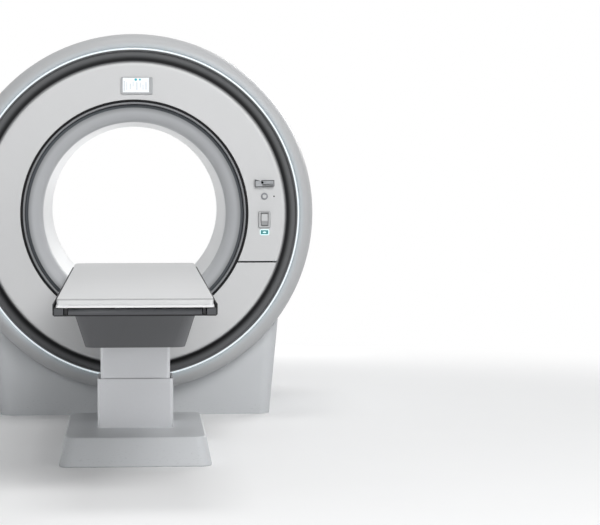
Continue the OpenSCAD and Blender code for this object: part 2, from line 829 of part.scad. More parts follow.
module main_coils() {
    pitch = (former_d1 - former_d0 - former_flange_t) / coil_n;
    color("peru") for (i = [0:coil_n - 1])
        front_ring(band(former_r1 + seat_gap, former_r1 + coil_t,
            former_d0 + i * pitch + former_flange_t + seat_gap, former_d0 + (i + 1) * pitch - seat_gap));
}

module gradient_coil() {
    color("khaki") front_ring(band(gradient_r0, gradient_r1, gradient_d0, gradient_d1));
}

module rf_coil_former() {
    r1 = rf_former_r0 + rf_former_t;
    color("burlywood") front_ring([
        [rf_former_r0, rf_d0], [gradient_r0 - seat_gap, rf_d0], [gradient_r0 - seat_gap, rf_d0 + rf_end_w],
        [r1, rf_d0 + rf_end_w], [r1, rf_d1 - rf_end_w], [gradient_r0 - seat_gap, rf_d1 - rf_end_w],
        [gradient_r0 - seat_gap, rf_d1], [rf_former_r0, rf_d1]]);
}

module rf_body_coil() {
    d0 = rf_d0 + rf_end_w + seat_gap;
    d1 = rf_d1 - rf_end_w - seat_gap;
    window_w = 2 * PI * rf_r0 / rung_n - rung_w;
    color("orange") difference() {
        front_ring(band(rf_r0, rf_r0 + rf_copper_t, d0, d1));
        for (i = [0:rung_n - 1])
            translate([0, front_y, axis_h]) rotate([0, i * 360 / rung_n, 0])
                translate([-window_w / 2, d0 + rf_ring_w, rf_r0 - rung_w])
                    cube([window_w, d1 - d0 - 2 * rf_ring_w, 2 * rung_w]);
    }
}

module cold_head() {
    place_y = 175;
    flange_w = 25;
    plate_t = 12;
    neck_r = 45;
    neck_h = 41;
    head_w = 11;
    head_h = 24;
    color("silver") translate([0, place_y, axis_h + vessel_r + seat_gap]) {
        cylinder(r = neck_r + flange_w, h = plate_t, $fn = small_fn);
        translate([0, 0, plate_t - eps]) cylinder(r = neck_r, h = neck_h + eps, $fn = small_fn);
        translate([0, 0, plate_t + neck_h - eps]) cylinder(r = neck_r + head_w, h = head_h, $fn = small_fn);
    }
}

module front_standoffs() {
    r = (gasket_r + face_r) / 2;
    rod_r = 12;
    color("slategray") for (a = [22.5:45:360])
        translate([r * cos(a), front_y + face_depth + carrier_t, axis_h + r * sin(a)]) rotate([-90, 0, 0])
            cylinder(r = rod_r, h = vessel_d0 - face_depth - carrier_t, $fn = small_fn);
}

module rear_standoffs() {
    vessel_end_out = 20;
    r = (rear_flare_r + rear_edge_r) / 2 + vessel_end_out;
    rod_r = 10;
    color("slategray") for (a = [22.5:45:360])
        translate([r * cos(a), rear_y - cover_t, axis_h + r * sin(a)]) rotate([90, 0, 0])
            cylinder(r = rod_r, h = magnet_inset - cover_t, $fn = small_fn);
}

module cover_brackets() {
    bracket_w = 60;
    bracket_l = 30;
    end_gap = 20;
    angles = [-105, -75, -25, 25, 75, 105];
    color("slategray") intersection() {
        front_ring(band(vessel_r + seat_gap, shell_inner_r - cover_t - seat_gap, vessel_d0 + end_gap,
            vessel_d1 - end_gap));
        for (y = [-gantry_l / 4, gantry_l / 4], a = angles)
            translate([0, y, axis_h]) rotate([0, a, 0])
                translate([-bracket_w / 2, -bracket_l / 2, vessel_r - bracket_l])
                    cube([bracket_w, bracket_l, cover_space + 2 * bracket_l]);
    }
}

// Track in the lower part of the bore, hollow, with a raised rail under each runner
module bridge_block(i) {
    end_gap = 10;
    rail_w = 40;
    rail_h = 14;
    rail_bevel = 6;
    hw = runner_x + rail_w / 2;
    in0 = hw - rail_w;
    in1 = in0 - rail_bevel;
    low = bridge_top - rail_h;
    y0 = front_y + end_gap;
    y1 = rear_y - end_gap;
    slope = bore_taper / (liner_d1 - liner_d0);
    intersection() {
        along_y(y0 - (i > 0 ? eps : 0), y1 + (i > 0 ? eps : 0)) polygon(i > 0 ?
            [[-hw + i, 0], [-hw + i, low - i], [hw - i, low - i], [hw - i, 0]] :
            [[-hw, 0], [-hw, bridge_top], [-in0, bridge_top], [-in1, low], [in1, low], [in0, bridge_top],
                [hw, bridge_top], [hw, 0]]);
        translate([0, front_y, axis_h]) rotate([-90, 0, 0])
            cylinder(r1 = bore_r - seat_gap - i + slope * liner_d0,
                r2 = bore_r - seat_gap - i - slope * (gantry_l - liner_d0), h = gantry_l, $fn = ring_fn);
    }
}

module bore_bridge() {
    color("silver") difference() {
        bridge_block(0);
        bridge_block(bridge_t);
    }
}

// Display and controls

module display_housing() {
    color("white") difference() {
        union() {
            face_plate(display_x, display_z, display_w, display_h, -display_proud, 0, plate_corner_r);
            face_body(display_x, display_z, display_w, display_h, display_body_in, control_depth);
        }
        face_plate(display_x + screen_dx, display_z + screen_dz, screen_w + 2 * seat_gap,
            screen_h + 2 * seat_gap, -display_proud - eps, 0, key_corner_r);
    }
}

module display_screen() {
    color("aliceblue") face_plate(display_x + screen_dx, display_z + screen_dz, screen_w, screen_h,
        screen_sunk - display_proud, 0, key_corner_r);
}

module handset_holder() {
    hw = holder_w / 2;
    hh = holder_h / 2;
    notch_x = -jack_aside - jack_r - 2 * seat_gap;
    bevel = 4;
    cradle_w = 46;
    cradle_h = 8;
    cradle_wall = 4;
    cradle_side = 6;
    color("darkgray") difference() {
        union() {
            translate([control_x, 0, axis_h + holder_z]) along_y(front_y - holder_proud, front_y) polygon([
                [-hw, -hh], [hw - bevel, -hh], [hw, -hh + bevel], [hw, hh],
                [notch_x + holder_notch, hh], [notch_x, hh - holder_notch], [-hw, hh + holder_horn]]);
            face_body(control_x, holder_z, holder_w, holder_h, holder_body_in, control_depth);
        }
        translate([control_x + hw - cradle_w - cradle_side, front_y - holder_proud - eps,
            axis_h + holder_z - hh + cradle_wall])
            cube([cradle_w, holder_proud - cradle_wall + eps, cradle_h]);
        face_rod(jack_x, jack_z, jack_r + seat_gap, -holder_proud - eps, control_depth - control_end_t);
    }
}

module handset_jack() {
    color("black") difference() {
        face_rod(jack_x, jack_z, jack_r, -holder_proud - jack_proud, control_depth - control_end_t);
        face_rod(jack_x, jack_z, jack_d / 2, -holder_proud - jack_proud - eps,
            -holder_proud - jack_proud + jack_depth);
    }
}

module round_button_bezel() {
    color("lightgray") difference() {
        union() {
            face_rod(control_x, round_z, round_bezel_d / 2, -bezel_proud, 0);
            face_rod(control_x, round_z, round_bezel_d / 2 - bezel_rim - seat_gap, -eps, control_depth);
        }
        face_rod(control_x, round_z, round_button_d / 2 + seat_gap, -bezel_proud - eps,
            control_depth - control_end_t);
    }
}

module round_button() {
    color("gray") face_rod(control_x, round_z, round_button_d / 2, -bezel_proud - button_proud,
        control_depth - control_end_t - button_travel - button_spare);
}

module indicator_lamp() {
    color("black") face_rod(lamp_x, round_z, lamp_d / 2, -lamp_proud, control_depth);
}

module rocker_frame() {
    color("lightgray") difference() {
        union() {
            face_plate(control_x, -rocker_drop, rocker_frame_w, rocker_frame_h, -2 * bezel_proud, 0,
                plate_corner_r);
            face_body(control_x, -rocker_drop, rocker_frame_w, rocker_frame_h, rocker_body_in, control_depth);
        }
        face_plate(control_x, -rocker_drop, rocker_w + 2 * rocker_side_gap, rocker_h + 2 * rocker_end_gap,
            -2 * bezel_proud - eps, control_depth - control_end_t, key_corner_r);
        translate([control_x, front_y + rocker_pin_in, axis_h - rocker_drop]) rotate([0, 90, 0])
            cylinder(d = rocker_pin_d + 2 * shaft_run, h = rocker_pin_l + 2 * seat_gap, center = true,
                $fn = small_fn);
    }
}

module table_rocker() {
    hh = rocker_h / 2;
    // How far its top end, its ridge and its lower end stand out of the face, and how deep it reaches behind
    top_out = 11;
    ridge_out = 13.5;
    ridge_drop = 5;
    low_out = 10;
    back = 4;
    color("gainsboro") translate([control_x, front_y, axis_h - rocker_drop]) {
        rotate([90, 0, 90]) translate([0, 0, -rocker_w / 2]) linear_extrude(rocker_w) polygon([
            [-top_out, hh], [-ridge_out, -ridge_drop], [-low_out, -hh], [back, -hh + back],
            [back + rocker_pin_in, 0], [back, hh - back]]);
        translate([0, rocker_pin_in, 0]) rotate([0, 90, 0])
            cylinder(d = rocker_pin_d, h = rocker_pin_l, center = true, $fn = small_fn);
    }
}

module start_button_frame() {
    color("darkgray") difference() {
        union() {
            face_plate(control_x, -start_drop, start_w + 2 * start_rim, start_h + 2 * start_rim,
                button_proud - bezel_proud, 0, plate_corner_r);
            face_body(control_x, -start_drop, start_w + 2 * start_rim, start_h + 2 * start_rim, start_body_in,
                control_depth);
        }
        face_plate(control_x, -start_drop, start_w, start_h, -bezel_proud - eps,
            control_depth - control_end_t, key_corner_r);
    }
}

module start_button() {
    color("turquoise") face_plate(control_x, -start_drop, start_w - 2 * seat_gap, start_h - 2 * seat_gap,
        -bezel_proud, control_depth - control_end_t - button_travel - button_spare, key_corner_r);
}

// Tabletop

// Plan outline of the tabletop, grown by g on every side
function table_plan(hw, g) = concat(
    arc([hw - head_corner_r, head_y + g - head_corner_r], head_corner_r, head_corner_r, 0, 90, corner_n),
    arc([-hw + head_corner_r, head_y + g - head_corner_r], head_corner_r, head_corner_r, 90, 180, corner_n),
    arc([-hw + foot_end_corner_r, foot_end_y - g + foot_end_corner_r], foot_end_corner_r, foot_end_corner_r,
        180, 270, corner_n),
    arc([hw - foot_end_corner_r, foot_end_y - g + foot_end_corner_r], foot_end_corner_r, foot_end_corner_r,
        270, 360, corner_n));

module tabletop() {
    r = board_edge_r;
    color("whitesmoke") intersection() {
        translate([0, 0, board_b]) linear_extrude(board_t) polygon(table_plan(board_hw, 0));
        along_y(foot_end_y - eps, head_y + eps) polygon(concat(
            [[-board_hw, board_b], [board_hw, board_b]],
            arc([board_hw - r, table_z - r], r, r, 0, 90, edge_n),
            arc([-board_hw + r, table_z - r], r, r, 90, 180, edge_n)));
    }
}

module tabletop_trim() {
    color("white") difference() {
        translate([0, 0, trim_b]) linear_extrude(trim_h) polygon(table_plan(trim_hw, trim_out));
        translate([-trim_hw + trim_frame_w, foot_end_y - trim_out + trim_frame_w, trim_b - eps])
            cube([2 * (trim_hw - trim_frame_w), table_l + 2 * (trim_out - trim_frame_w), trim_h + 2 * eps]);
    }
}

module tabletop_runners() {
    color("gray") for (sx = [-1, 1])
        translate([sx * runner_x - runner_w / 2, foot_end_y + runner_end_gap, runner_b])
            cube([runner_w, table_l - 2 * runner_end_gap, board_b - runner_b]);
}

module belt_clamp() {
    color("silver") difference() {
        translate([clamp_in, clamp_y - clamp_l / 2, flange_z0])
            cube([clamp_out - clamp_in, clamp_l, board_b - flange_z0]);
        translate([belt_r - seat_gap, clamp_y - clamp_l, flange_z0 - eps])
            cube([belt_t + 2 * seat_gap, 2 * clamp_l, belt_z0 + belt_h + seat_gap - flange_z0 + eps]);
    }
}

// Tray, drive and lift

// Half of the tray's outer section, from the slot's outer wall to the upturned lip
function rail_outline() = concat(
    [[slot_out, tray_top], [slot_out, tray_b]],
    arc([tray_hw - tray_edge_r, tray_b + tray_edge_r], tray_edge_r, tray_edge_r, -90, 0, corner_n),
    [[tray_hw, tray_top + lip_h], [tray_hw - lip_t, tray_top + lip_h], [tray_hw - lip_t, tray_top]]);

module both_sides() {
    children();
    mirror([1, 0, 0]) children();
}

module table_tray() {
    color("dimgray") difference() {
        union() {
            both_sides() along_y(tray_y0, tray_y1) {
                polygon(rail_outline());
                translate([slot_in - eps, tray_b]) square([slot_w + 2 * eps, slot_floor_t]);
            }
            translate([-slot_in, tray_y0, tray_b]) cube([2 * slot_in, tray_y1 - tray_y0, tray_h]);
        }
        translate([-slot_in + pan_t, tray_y0 + pan_t, tray_b + pan_t])
            cube([2 * (slot_in - pan_t), tray_y1 - tray_y0 - 2 * pan_t, tray_h]);
        translate([0, drive_y, tray_b - eps])
            cylinder(r = shaft_r + shaft_clear, h = pan_t + 2 * eps, $fn = small_fn);
    }
    color("dimgray") translate([0, idler_y, tray_b + pan_t - eps])
        cylinder(r = shaft_r, h = pulley_top - tray_b - pan_t + eps, $fn = small_fn);
}

module tray_end_caps() {
    color("black") both_sides() {
        along_y(foot_end_y, tray_y0) polygon(rail_outline());
        along_y(tray_y1, tray_y1 + end_cap_t) polygon(rail_outline());
    }
}

module pulley(y) {
    translate([0, y, 0]) {
        translate([0, 0, flange_z0]) cylinder(r = flange_r, h = flange_t, $fn = ring_fn);
        translate([0, 0, flange_z0]) cylinder(r = pulley_r, h = pulley_top - flange_z0, $fn = ring_fn);
        translate([0, 0, pulley_top - flange_t]) cylinder(r = flange_r, h = flange_t, $fn = ring_fn);
    }
}

module drive_pulley() {
    color("lightgray") {
        pulley(drive_y);
        translate([0, drive_y, head_plate_z1 - shaft_in_motor])
            cylinder(r = shaft_r, h = flange_z0 - head_plate_z1 + shaft_in_motor + eps, $fn = small_fn);
    }
}

module idler_pulley() {
    color("lightgray") difference() {
        pulley(idler_y);
        translate([0, idler_y, flange_z0 - eps])
            cylinder(r = shaft_r + shaft_run, h = pulley_top - flange_z0 + 2 * eps, $fn = small_fn);
    }
}

module belt_loop(r, z0, h) {
    translate([0, 0, z0]) {
        for (y = [idler_y, drive_y]) translate([0, y, 0]) cylinder(r = r, h = h, $fn = ring_fn);
        translate([-r, idler_y, 0]) cube([2 * r, drive_y - idler_y, h]);
    }
}

module drive_belt() {
    color("black") difference() {
        belt_loop(belt_r + belt_t, belt_z0, belt_h);
        belt_loop(belt_r, belt_z0 - eps, belt_h + 2 * eps);
    }
}

module drive_motor() {
    color("darkslategray") difference() {
        translate([0, drive_y, head_plate_z1 - motor_l]) cylinder(r = motor_r, h = motor_l, $fn = small_fn);
        translate([0, drive_y, head_plate_z1 - motor_bore])
            cylinder(r = shaft_r + shaft_run, h = motor_bore + eps, $fn = small_fn);
    }
}

// Box with rounded corners about the pedestal, whose foot is lean narrower on each side than its top
module taper(hw, hl, lean, r, z0, z1) {
    slice = 0.1;
    hull() for (sx = [-1, 1], sy = [-1, 1]) {
        translate([sx * (hw - lean - r), ped_c + sy * (hl - lean - r), z0])
            cylinder(r = r, h = slice, $fn = taper_fn);
        translate([sx * (hw - r), ped_c + sy * (hl - r), z1 - slice])
            cylinder(r = r, h = slice, $fn = taper_fn);
    }
}

module pedestal_head() {
    t = cover_t;
    lower_edge = 2;
    color("dimgray") difference() {
        taper(pedestal_top_hw, ped_hl, pedestal_lean, pedestal_corner_r, head_top - pedestal_h, head_top);
        taper(pedestal_top_hw - t, ped_hl - t, pedestal_lean + lower_edge, pedestal_corner_r - t,
            head_top - pedestal_h - eps, head_plate_z1);
        translate([0, drive_y, head_plate_z1 - eps])
            cylinder(r = shaft_r + shaft_clear, h = head_skin_t + 2 * eps, $fn = small_fn);
    }
}

module column_head_plate() {
    color("slategray") translate([-top_plate_hw, ped_c - head_plate_hl, head_plate_z0])
        cube([2 * top_plate_hw, 2 * head_plate_hl, head_plate_t]);
}

// Rectangular column tube, with a bearing collar around its foot where collar is above 0
module column_tube(w, l, z0, z1, collar) {
    translate([0, ped_c, 0]) difference() {
        union() {
            translate([0, 0, z0]) linear_extrude(z1 - z0) polygon(rounded_box(w, l, column_corner_r));
            if (collar > 0) translate([0, 0, z0]) linear_extrude(collar_h)
                polygon(rounded_box(w + 2 * collar, l + 2 * collar, column_corner_r));
        }
        translate([0, 0, z0 - eps]) linear_extrude(z1 - z0 + 2 * eps)
            polygon(rounded_box(w - 2 * column_t, l - 2 * column_t, column_bore_r));
    }
}

module column_lower() {
    color("silver") column_tube(column_w, column_l, floor_plate_t, floor_plate_t + lower_len, 0);
}

module column_middle() {
    color("silver") column_tube(column_w - 2 * step_in, column_l - 2 * step_in, middle_z0,
        middle_z0 + middle_len, column_gap - seat_gap);
}

module column_upper() {
    color("silver") column_tube(column_w - 4 * step_in, column_l - 4 * step_in, upper_z0, head_plate_z0,
        column_gap - seat_gap);
}

module lift_tube(r0, r1, z0, z1, floor_t) {
    translate([0, ped_c, 0]) difference() {
        translate([0, 0, z0]) cylinder(r = r1, h = z1 - z0, $fn = small_fn);
        translate([0, 0, z0 + floor_t]) cylinder(r = r0, h = z1 - z0, $fn = small_fn);
    }
}

module lift_cylinder() {
    color("darkgray") lift_tube(cylinder_r - cylinder_t, cylinder_r, floor_plate_t,
        floor_plate_t + cylinder_len, cylinder_t);
}

module lift_stage() {
    color("lightgray") lift_tube(stage_r - cylinder_t, stage_r, middle_z0 - stage_below,
        middle_z0 + middle_len - stage_short, cylinder_t);
}

module lift_rod() {
    color("white") translate([0, ped_c, upper_z0 - stage_below])
        cylinder(r = rod_r, h = head_plate_z0 - upper_z0 + stage_below, $fn = small_fn);
}

// Table foot

module table_base_plate() {
    color("slategray") difference() {
        translate([-base_plate_hw, ped_c - base_plate_hl, 0])
            cube([2 * base_plate_hw, 2 * base_plate_hl, floor_plate_t]);
        for (sx = [-1, 1], sy = [-1, 1])
            translate([sx * (base_plate_hw - anchor_edge / 2), ped_c + sy * (base_plate_hl - anchor_edge / 2),
                -eps]) cylinder(d = table_anchor_d, h = floor_plate_t + 2 * eps, $fn = small_fn);
    }
}

module table_base_cover() {
    t = cover_t;
    color("silver") difference() {
        taper(base_cover_hw - base_cover_lean, base_cover_hl - base_cover_lean, -base_cover_lean,
            pedestal_corner_r, 0, base_cover_h);
        taper(base_cover_hw - base_cover_lean - t, base_cover_hl - base_cover_lean - t, -base_cover_lean,
            pedestal_corner_r - t, -eps, base_cover_h - t);
        translate([0, ped_c, base_cover_h - t - eps]) linear_extrude(t + 2 * eps)
            polygon(rounded_box(column_w + 2 * seat_gap, column_l + 2 * seat_gap, column_corner_r));
    }
}

module cable_duct() {
    y0 = ped_c + base_cover_hl;
    y1 = foot_y0;
    edge = 16;
    color("silver") difference() {
        along_y(y0, y1) polygon([[-duct_hw, 0], [duct_hw, 0], [duct_hw, duct_h - edge],
            [duct_hw - edge, duct_h], [-duct_hw + edge, duct_h], [-duct_hw, duct_h - edge]]);
        along_y(y0 - eps, y1 + eps) polygon([[-duct_hw + duct_t, -eps], [duct_hw - duct_t, -eps],
            [duct_hw - duct_t, duct_h - edge], [duct_hw - edge, duct_h - duct_t],
            [-duct_hw + edge, duct_h - duct_t], [-duct_hw + duct_t, duct_h - edge]]);
    }
}

outer_cover_front();
outer_cover_rear();
base_cover();
front_face_panel();
front_service_panel();
front_carrier_ring();
front_light_ring();
bore_gasket();
bore_trim_ring();
bore_recess_ring();
front_flare();
bore_liner();
rear_flare();
rear_face_panel();
rear_vent_grille();
gantry_frame();
magnet_vessel();
coil_former();
main_coils();
gradient_coil();
rf_coil_former();
rf_body_coil();
cold_head();
front_standoffs();
rear_standoffs();
cover_brackets();
bore_bridge();
display_housing();
display_screen();
handset_holder();
handset_jack();
round_button_bezel();
round_button();
indicator_lamp();
rocker_frame();
table_rocker();
start_button_frame();
start_button();
tabletop();
tabletop_trim();
tabletop_runners();
belt_clamp();
table_tray();
tray_end_caps();
drive_pulley();
idler_pulley();
drive_belt();
drive_motor();
pedestal_head();
column_head_plate();
column_upper();
column_middle();
column_lower();
lift_cylinder();
lift_stage();
lift_rod();
table_base_plate();
table_base_cover();
cable_duct();
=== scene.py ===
from math import cos, pi, radians, sin, tan

import bmesh
import bpy
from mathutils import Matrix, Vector


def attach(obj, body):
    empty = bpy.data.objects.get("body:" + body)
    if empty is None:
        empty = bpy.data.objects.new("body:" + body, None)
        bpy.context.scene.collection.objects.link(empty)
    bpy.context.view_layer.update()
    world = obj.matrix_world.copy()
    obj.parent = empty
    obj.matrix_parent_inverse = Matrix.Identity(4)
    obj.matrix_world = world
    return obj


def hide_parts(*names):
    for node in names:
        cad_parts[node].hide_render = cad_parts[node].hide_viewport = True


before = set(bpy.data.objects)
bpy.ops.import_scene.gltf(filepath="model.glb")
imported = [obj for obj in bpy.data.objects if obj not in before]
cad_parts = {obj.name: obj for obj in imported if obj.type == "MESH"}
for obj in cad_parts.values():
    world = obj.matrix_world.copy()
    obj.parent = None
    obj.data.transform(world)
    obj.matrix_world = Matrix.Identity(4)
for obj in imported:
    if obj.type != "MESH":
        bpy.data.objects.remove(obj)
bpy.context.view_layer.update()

# The photographer's place: ten metres in front of the gantry at chest height, turned four degrees towards the
# controls and tipped slightly down, so that the ring stands left of the middle and runs out of the picture.
turned_right, tipped_down = radians(4.146), radians(2.668)
bpy.ops.object.camera_add(location=(-0.0028, -10.5645, 1.1524), rotation=(pi / 2 - tipped_down, 0, -turned_right))
camera = bpy.context.object
camera.data.sensor_width = 36
camera.data.lens = 137.353
bpy.context.scene.camera = camera
bpy.context.scene.view_settings.view_transform = "Standard"


# The studio: a pale floor that keeps the scanner's shadow and fades to plain white further out, white air for
# the eye and for reflections, and soft lamps. The key lamp hangs high to the right in front, with a weak one
# over the camera and one under the ceiling. One stands high behind the gantry, and three small ones low
# behind it shine through the bore onto its left wall and its top.
class Wire:
    """A socket of a node sheet. Sums and comparisons written with it add the Math nodes that do them."""

    def __init__(self, sheet, socket):
        self.sheet, self.socket = sheet, socket

    def math(self, operation, *values):
        return self.sheet.node("ShaderNodeMath", {"operation": operation}, dict(enumerate(values)))

    def __add__(self, other): return self.math("ADD", self, other)
    def __radd__(self, other): return self.math("ADD", other, self)
    def __sub__(self, other): return self.math("SUBTRACT", self, other)
    def __rsub__(self, other): return self.math("SUBTRACT", other, self)
    def __mul__(self, other): return self.math("MULTIPLY", self, other)
    def __rmul__(self, other): return self.math("MULTIPLY", other, self)
    def __pow__(self, other): return self.math("POWER", self, other)
    def __abs__(self): return self.math("ABSOLUTE", self)
    def larger(self, other): return self.math("MAXIMUM", self, other)

    def span(self, other):
        """How far off a point lies that is this much across and the other much up."""
        return (self * self + other * other) ** 0.5

    def ramp(self, low, high):
        """Rises smoothly from 0 at low to 1 at high."""
        return self.sheet.node("ShaderNodeMapRange", {"interpolation_type": "SMOOTHSTEP"},
                               {"Value": self, "From Min": low, "From Max": high})


class Sheet:
    """The nodes of one material, or of the world."""

    def __init__(self, owner):
        self.owner = owner
        owner.use_nodes = True
        self.tree = owner.node_tree
        self.tree.nodes.clear()

    def node(self, kind, settings, values, output=0):
        """A node with its settings made first, then values or wires put into its sockets."""
        made = self.tree.nodes.new(kind)
        for key, setting in settings.items():
            setattr(made, key, setting)
        for key, value in values.items():
            if isinstance(value, Wire):
                self.tree.links.new(value.socket, made.inputs[key])
            else:
                made.inputs[key].default_value = value
        return Wire(self, made.outputs[output]) if made.outputs else made

    def where(self):
        """The point on the scanner that is shaded, in metres."""
        return self.node("ShaderNodeTexCoord", {}, {}, "Object")

    def place(self):
        """The same point as x, y and z."""
        where = self.where()
        return [self.node("ShaderNodeSeparateXYZ", {}, {"Vector": where}, axis) for axis in "XYZ"]

    def noise(self, scale, detail=2.0, stretch=None):
        where = self.where()
        if stretch:
            where = self.node("ShaderNodeMapping", {}, {"Vector": where, "Scale": stretch})
        return self.node("ShaderNodeTexNoise", {}, {"Vector": where, "Scale": scale, "Detail": detail})

    def shade(self, colour, tone):
        """A colour made lighter or darker by tone."""
        return self.node("ShaderNodeVectorMath", {"operation": "SCALE"}, {"Vector": colour, "Scale": tone})

    def blend(self, first, second, share):
        ends = [end if isinstance(end, Wire) else (*end, 1) for end in (first, second)]
        return self.node("ShaderNodeMix", {"data_type": "RGBA"}, {0: share, 6: ends[0], 7: ends[1]}, 2)

    def bump(self, height, strength, distance):
        return self.node("ShaderNodeBump", {}, {"Height": height, "Strength": strength, "Distance": distance})

    def coated(self, tint, tone, roughness, shine, relief):
        """Ends a material as paint or moulding. Relief is a noise's scale and detail, then strength and depth."""
        return self.surface({
            "Base Color": self.shade(tint, tone), "Roughness": roughness, "Specular IOR Level": shine,
            "Normal": self.bump(self.noise(*relief[:2]), *relief[2:])})

    def surface(self, values, mixed_with=None, share=None):
        """Ends a material in its surface shader."""
        shader = self.node("ShaderNodeBsdfPrincipled", {}, values)
        if mixed_with:
            shader = self.node("ShaderNodeMixShader", {}, {0: share, 1: shader, 2: mixed_with})
        self.node("ShaderNodeOutputMaterial", {}, {"Surface": shader})
        return self.owner


def new_finish(name):
    return Sheet(bpy.data.materials.new(name))


def seen_as_white(sheet):
    """1 for the eye and for what mirrors and glass show, 0 for the light that falls on the object."""
    path = sheet.node("ShaderNodeLightPath", {}, {}, "Is Camera Ray")
    for ray in ("Is Glossy Ray", "Is Transmission Ray"):
        path = path.larger(sheet.node("ShaderNodeLightPath", {}, {}, ray))
    return path


def just_added(name):
    """The object that was added last, under its own name."""
    made = bpy.context.object
    made.name = made.data.name = name
    return made


bpy.ops.object.select_all(action="DESELECT")
bpy.ops.mesh.primitive_plane_add(size=240)
floor = just_added("studio_floor")
sheet = new_finish("pale_floor")
x, y, z = sheet.place()
far_out = (x * x + (y + 1.2) * (y + 1.2)).ramp(7.0, 22.0)
white = sheet.node("ShaderNodeEmission", {}, {"Color": (1, 1, 1, 1), "Strength": 1.0})
floor.data.materials.append(sheet.surface(
    {"Base Color": sheet.shade((0.93, 0.93, 0.93), 0.995 + 0.01 * sheet.noise(3.0)), "Roughness": 0.9,
     "Specular IOR Level": 0.0}, white, far_out * seen_as_white(sheet)))

bpy.context.scene.world = bpy.data.worlds.new("studio_air")
sheet = Sheet(bpy.context.scene.world)
air = sheet.node("ShaderNodeBackground", {},
                 {"Color": sheet.blend((0.24, 0.245, 0.25), (1, 1, 1), seen_as_white(sheet)), "Strength": 1.0})
sheet.node("ShaderNodeOutputWorld", {}, {"Surface": air})
ring_aim, bore_aim = Vector((0, -0.5, 0.9)), Vector((0, 0.2, 1.2))
for name, place, aim, size, power in (
        ("key_lamp", (4.0, -9.5, 7.6), ring_aim, 5.5, 740), ("fill_lamp", (-1.0, -11.6, 5.2), ring_aim, 4, 200),
        ("top_lamp", (0, -0.8, 9.9), ring_aim, 3.5, 170), ("rear_lamp", (4.0, 7.0, 4.0), ring_aim, 3, 247),
        ("bore_lamp_near", (1.0, 3.3, 0.3), bore_aim, 0.5, 5.6),
        ("bore_lamp_middle", (0.35, 4.5, 0.32), bore_aim, 0.5, 1.6),
        ("bore_lamp_far", (0, 6.5, 0.5), bore_aim, 0.9, 2.9)):
    bpy.ops.object.light_add(type="AREA", location=place)
    lamp = just_added(name)
    lamp.data.size, lamp.data.energy = size, power
    lamp.rotation_euler = (aim - Vector(place)).to_track_quat("-Z", "Y").to_euler()


# Moulded foot: the glass-fibre cover that cradles the ring and hides the steel frame under it. It is moulded
# in one shell, open below, with a wide cradle lip, and it is scuffed a little where mops and shoes meet it.
front_face, rear_face, axis_height = -0.525, 0.525, 0.9
cover_radius, wall, seat_gap = 0.7899, 0.005, 0.0003


def clear():
    """Leaves the piece at hand, with nothing selected."""
    if bpy.context.object and bpy.context.object.mode == "EDIT":
        bpy.ops.object.mode_set(mode="OBJECT")
    bpy.ops.object.select_all(action="DESELECT")


def hold(piece):
    """Takes one piece in hand, closed if it was open for editing."""
    clear()
    piece.select_set(True)
    bpy.context.view_layer.objects.active = piece


def settle(piece):
    """Closes a piece, with its place in its mesh."""
    hold(piece)
    bpy.ops.object.transform_apply(location=True, rotation=True, scale=True)
    return piece


def block(name, low, high):
    """A box from its lowest to its highest corner."""
    clear()
    bpy.ops.mesh.primitive_cube_add(size=1, location=[(a + b) / 2 for a, b in zip(low, high)])
    bpy.context.object.scale = [b - a for a, b in zip(low, high)]
    return settle(just_added(name))


def drum(name, radius, y0, y1, x=0.0, z=axis_height, sides=48):
    """A round bar that lies along Y."""
    clear()
    bpy.ops.mesh.primitive_cylinder_add(vertices=sides, radius=radius, depth=y1 - y0,
                                        location=(x, (y0 + y1) / 2, z), rotation=(pi / 2, 0, 0))
    return settle(just_added(name))


def middle(part):
    return sum((v.co for v in part.verts), Vector()) / len(part.verts)


def pick(piece, kind, wanted):
    """Opens a piece for editing, with just those of its verts, edges or faces selected that are wanted."""
    if piece.mode != "EDIT":
        hold(piece)
        bpy.ops.object.mode_set(mode="EDIT")
    bpy.ops.mesh.select_mode(type={"verts": "VERT", "edges": "EDGE", "faces": "FACE"}[kind])
    bpy.ops.mesh.select_all(action="DESELECT")
    mesh = bmesh.from_edit_mesh(piece.data)
    for part in getattr(mesh, kind):
        if wanted(part):
            part.select_set(True)
    mesh.select_flush_mode()
    bmesh.update_edit_mesh(piece.data)


def runs_along(edge, axis):
    """Whether an edge runs nearly along an axis, 0 to 2 for X to Z."""
    a, b = (v.co for v in edge.verts)
    return abs(a[axis] - b[axis]) > 0.8 * (a - b).length > 0


def upright(edge):
    return runs_along(edge, 2)


def lengthways(edge):
    return runs_along(edge, 1)


def round_off(piece, wanted, radius, segments=6):
    """Rounds the edges of a piece that are wanted, and leaves it open for editing."""
    pick(piece, "edges", wanted)
    bpy.ops.mesh.bevel(offset=radius, segments=segments)


def work(piece, kind, **settings):
    """Adds a modifier and applies it."""
    hold(piece)
    made = piece.modifiers.new(kind.lower(), kind)
    for key, setting in settings.items():
        setattr(made, key, setting)
    bpy.ops.object.modifier_apply(modifier=made.name)


def cut(piece, tool, operation="DIFFERENCE"):
    """Cuts a piece with a tool, which is then thrown away."""
    work(piece, "BOOLEAN", operation=operation, object=tool, solver="EXACT")
    bpy.data.objects.remove(tool)


def shell(piece, z0, even=True):
    """Opens a solid form below, at z0, and leaves it as a moulding's wall."""
    pick(piece, "faces", lambda f: middle(f).z < z0 + 0.0005 and f.normal.z < -0.9)
    bpy.ops.mesh.delete(type="FACE")
    work(piece, "SOLIDIFY", thickness=wall, offset=-1, use_even_offset=even)


def soften(piece, width, segments=2, angle=50):
    """Rounds a piece's sharp edges as a mould does."""
    work(piece, "BEVEL", width=width, segments=segments, limit_method="ANGLE", angle_limit=radians(angle))


